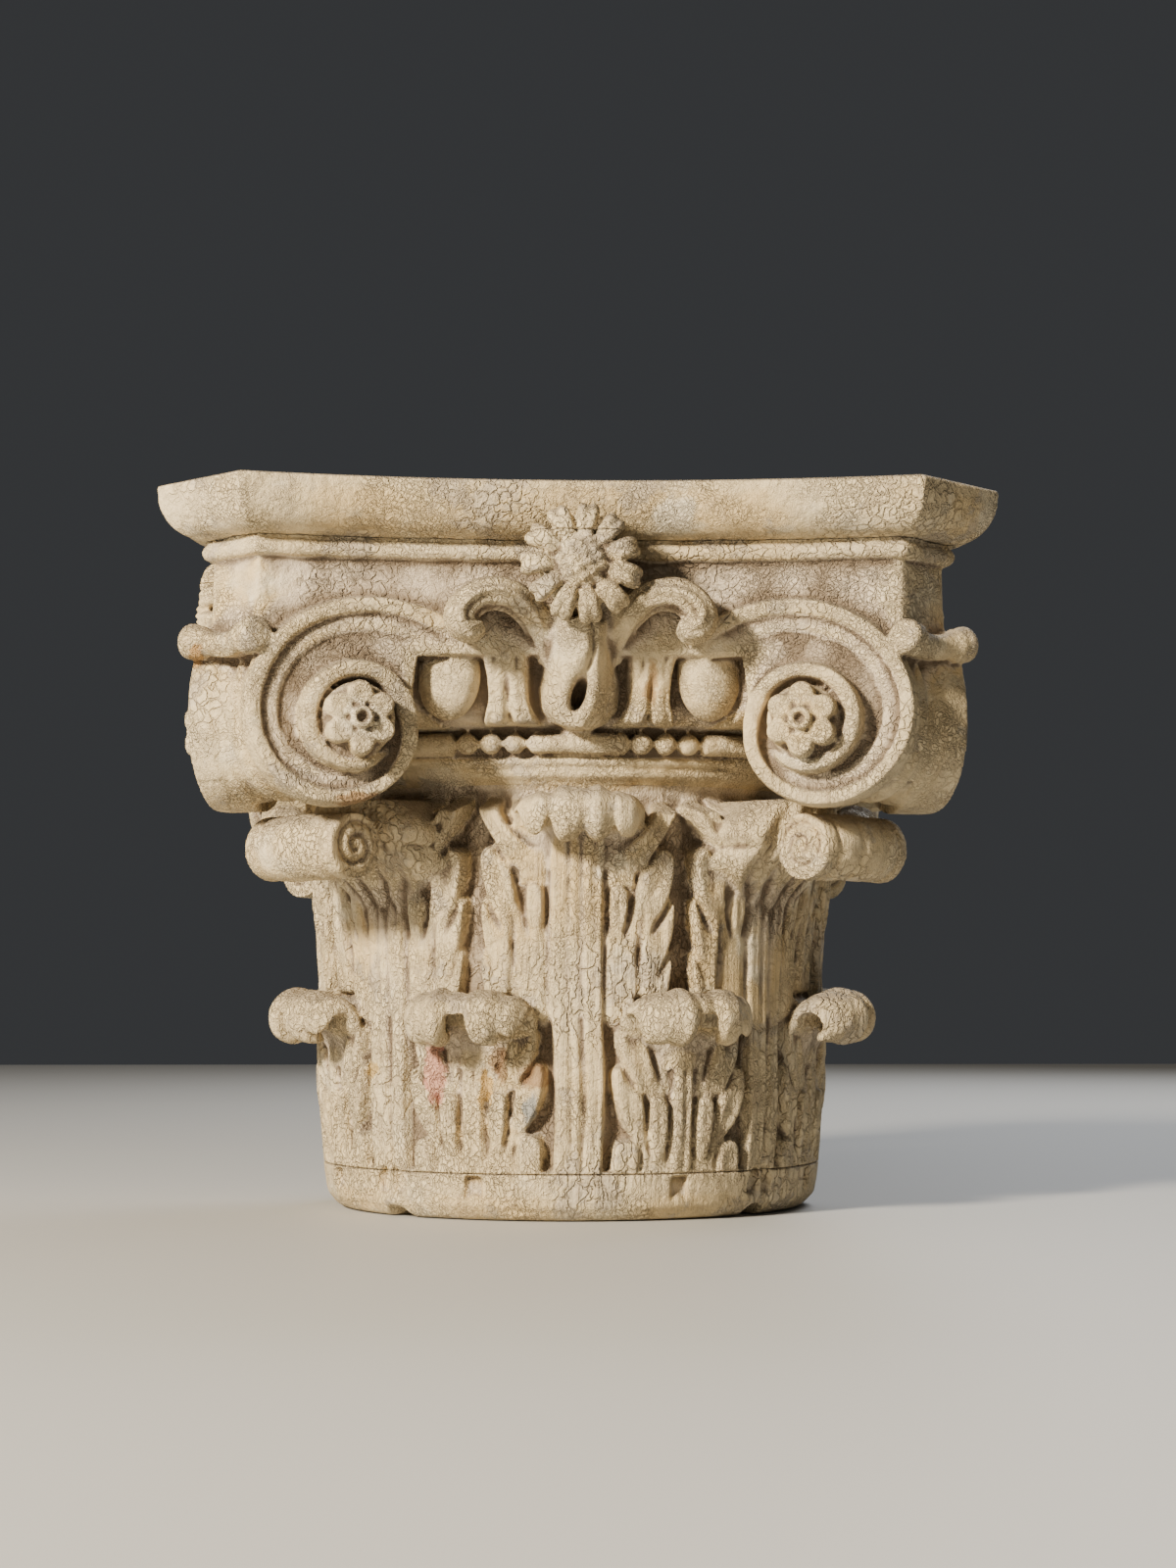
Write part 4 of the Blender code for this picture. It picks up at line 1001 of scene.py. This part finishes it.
def old_paint(name, grain):
    """Old crackled oil paint over dirty wood, with painted shade and dirt darkening its crevices; with grain,
    its cracks and fibres run upright.
    """
    material = bpy.data.materials.new(name)
    material.use_nodes = True
    tree = material.node_tree
    shader = tree.nodes["Principled BSDF"]
    place = node(tree, "ShaderNodeTexCoord").outputs["Object"]
    fine = node(tree, "ShaderNodeAttribute", attribute_name="fine").outputs["Fac"]
    broad = node(tree, "ShaderNodeAttribute", attribute_name="broad").outputs["Fac"]

    def noise(scale, detail=3.0, vector=place, rough=0.55):
        inputs = {"Vector": vector, "Scale": scale, "Detail": detail, "Roughness": rough}
        return node(tree, "ShaderNodeTexNoise", inputs)

    wobble = noise(120.0, 3.0).outputs["Color"]
    shift = vector_math(tree, "SUBTRACT", wobble, (0.5, 0.5, 0.5))
    shift = node(tree, "ShaderNodeVectorMath", {0: shift, "Scale": 0.011}, operation="SCALE").outputs[0]
    bent = vector_math(tree, "ADD", place, shift)
    stretch = (1.0, 1.0, 0.42 if grain else 1.0)
    upright = node(tree, "ShaderNodeMapping", {"Vector": bent, "Scale": stretch}).outputs[0]

    def crackle(scale):
        inputs = {"Vector": upright, "Scale": scale}
        made = node(tree, "ShaderNodeTexVoronoi", inputs, feature="DISTANCE_TO_EDGE")
        return made.outputs["Distance"]

    big = ramp(tree, crackle(170.0), 0.0, 0.13)
    small = ramp(tree, crackle(430.0), 0.0, 0.12)
    where = ramp(tree, noise(24.0, 4.0).outputs["Fac"], 0.42, 0.60)
    far = ramp(tree, noise(13.0, 3.0).outputs["Fac"], 0.60, 0.42)
    net = times(tree, math_node(tree, "MAXIMUM", big, far), math_node(tree, "MAXIMUM", small, where))

    flakes = noise(150.0, 6.0, bent, 0.65).outputs["Fac"]
    stretch = (1.0, 1.0, 0.045 if grain else 0.6)
    fibres = node(tree, "ShaderNodeMapping", {"Vector": place, "Scale": stretch}).outputs[0]
    streaks = noise(260.0, 4.0, fibres, 0.6).outputs["Fac"]
    blotch = noise(14.0, 5.0).outputs["Fac"]
    cream = mix(tree, ramp(tree, blotch, 0.36, 0.62), CREAM, LIGHT_CREAM)
    cream = mix(tree, ramp(tree, noise(33.0, 5.0).outputs["Fac"], 0.54, 0.68), cream, FRESH_CREAM)
    pale = mix(tree, ramp(tree, broad, 0.52, 0.32), cream, HOLLOW_PAINT)
    yellow = times(tree, ramp(tree, broad, 0.52, 0.72), 0.6)
    pale = mix(tree, yellow, pale, YELLOWED_PAINT)
    worn = times(tree, ramp(tree, noise(26.0, 7.0, place, 0.68).outputs["Fac"], 0.56, 0.61), 0.62)
    pale = mix(tree, worn, pale, WORN_PAINT)
    grime = times(tree, ramp(tree, noise(75.0, 7.0, place, 0.7).outputs["Fac"], 0.45, 0.75), 0.5)
    dirty = mix(tree, grime, pale, GRIME)
    dirty = mix(tree, times(tree, ramp(tree, streaks, 0.52, 0.72), 0.35 if grain else 0.12),
                dirty, STREAKS)
    crack = times(tree, math_node(tree, "SUBTRACT", 1.0, net), 0.36)
    cracked = mix(tree, crack, dirty, CRACKS)
    # Painted shade in the crevices, together with dirt: the finely sunk places darken strongly towards
    # near-black brown
    sunk = times(tree, ramp(tree, fine, 0.48, 0.22), 0.88)
    shaded_colour = mix(tree, sunk, cracked, CREVICE_DIRT_AND_SHADE)
    facing = node(tree, "ShaderNodeNewGeometry").outputs["Normal"]
    upward = node(tree, "ShaderNodeSeparateXYZ", {0: facing}).outputs["Z"]
    settled = times(tree, ramp(tree, upward, 0.38, 0.82), 0.72)
    shaded_colour = mix(tree, settled, shaded_colour, DUST)
    for x, y, z, wide, tall, colour in STAINS:
        apart = vector_math(tree, "SUBTRACT", bent, (x * MM, y * MM, z * MM))
        apart = vector_math(tree, "MULTIPLY", apart, (1000 / wide, 1000 / 40, 1000 / tall))
        away = node(tree, "ShaderNodeVectorMath", {0: apart}, operation="LENGTH").outputs["Value"]
        ragged = math_node(tree, "ADD", away, times(tree, flakes, 1.1))
        near = times(tree, ramp(tree, ragged, 1.62, 1.22), 0.75)
        shaded_colour = mix(tree, near, shaded_colour, colour)
    tree.links.new(shaded_colour, shader.inputs["Base Color"])
    shader.inputs["Roughness"].default_value = 0.72
    shader.inputs["Specular IOR Level"].default_value = 0.35

    height = math_node(tree, "ADD", times(tree, net, 0.8), times(tree, flakes, 1.4))
    height = math_node(tree, "ADD", height, times(tree, streaks, 1.3 if grain else 0.4))
    bump = node(tree, "ShaderNodeBump", {"Height": height, "Strength": 1.0, "Distance": 0.0019})
    tree.links.new(bump.outputs[0], shader.inputs["Normal"])
    return material


def floor_and_light():
    """The pale floor, the dim surroundings and three lamps."""
    bpy.ops.mesh.primitive_plane_add(size=6, location=(0, 0, -0.0005))
    floor = bpy.context.active_object
    floor.name = "floor"
    material = bpy.data.materials.new("floor")
    material.use_nodes = True
    shader = material.node_tree.nodes["Principled BSDF"]
    shader.inputs["Base Color"].default_value = (0.47, 0.47, 0.46, 1)
    shader.inputs["Roughness"].default_value = 0.6
    floor.data.materials.append(material)

    world = bpy.data.worlds.new("studio")
    bpy.context.scene.world = world
    world.use_nodes = True
    world.node_tree.nodes["Background"].inputs[0].default_value = (0.90, 0.94, 1.0, 1)
    world.node_tree.nodes["Background"].inputs[1].default_value = 0.045

    def lamp(name, where, size, power, colour):
        data = bpy.data.lights.new(name, "AREA")
        data.size = size
        data.energy = power
        data.color = colour
        obj = bpy.data.objects.new(name, data)
        obj.location = where
        aim = np.array((0, 0, 0.2)) - np.array(where)
        obj.rotation_euler = Vector(aim).to_track_quat("-Z", "Y").to_euler()
        bpy.context.scene.collection.objects.link(obj)

    lamp("key", (-1.62, -1.80, 1.22), 0.34, 190, (1.0, 0.88, 0.70))
    lamp("fill", (1.2, -1.9, 1.0), 1.8, 2.2, (1.0, 0.96, 0.90))
    lamp("rim", (0.9, 1.7, 1.5), 1.2, 34, (0.95, 0.97, 1.0))


def camera():
    """The camera, where a fit to the photograph puts it."""
    data = bpy.data.cameras.new("camera")
    data.lens = 63.53
    data.sensor_width = 36
    data.sensor_fit = "AUTO"
    obj = bpy.data.objects.new("camera", data)
    obj.location = (-0.0407, -1.5271, 0.1136)
    obj.rotation_euler = (np.pi / 2 + 0.0758, 0, -0.0328)
    bpy.context.scene.collection.objects.link(obj)
    bpy.context.scene.camera = obj


def main():
    build_clay()
    layers = split_layers(carve_by_hand(fuse()))
    for name, obj in layers.items():
        thin(obj, TRIANGLES[name] // (1))
        mark_sunk_and_raised(obj)
        obj.data.materials.append(old_paint(name + "_paint", name in ("bell", "base_ring")))
        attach(obj, "root")
        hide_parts(NODES[name])
    floor_and_light()
    camera()
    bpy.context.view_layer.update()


main()
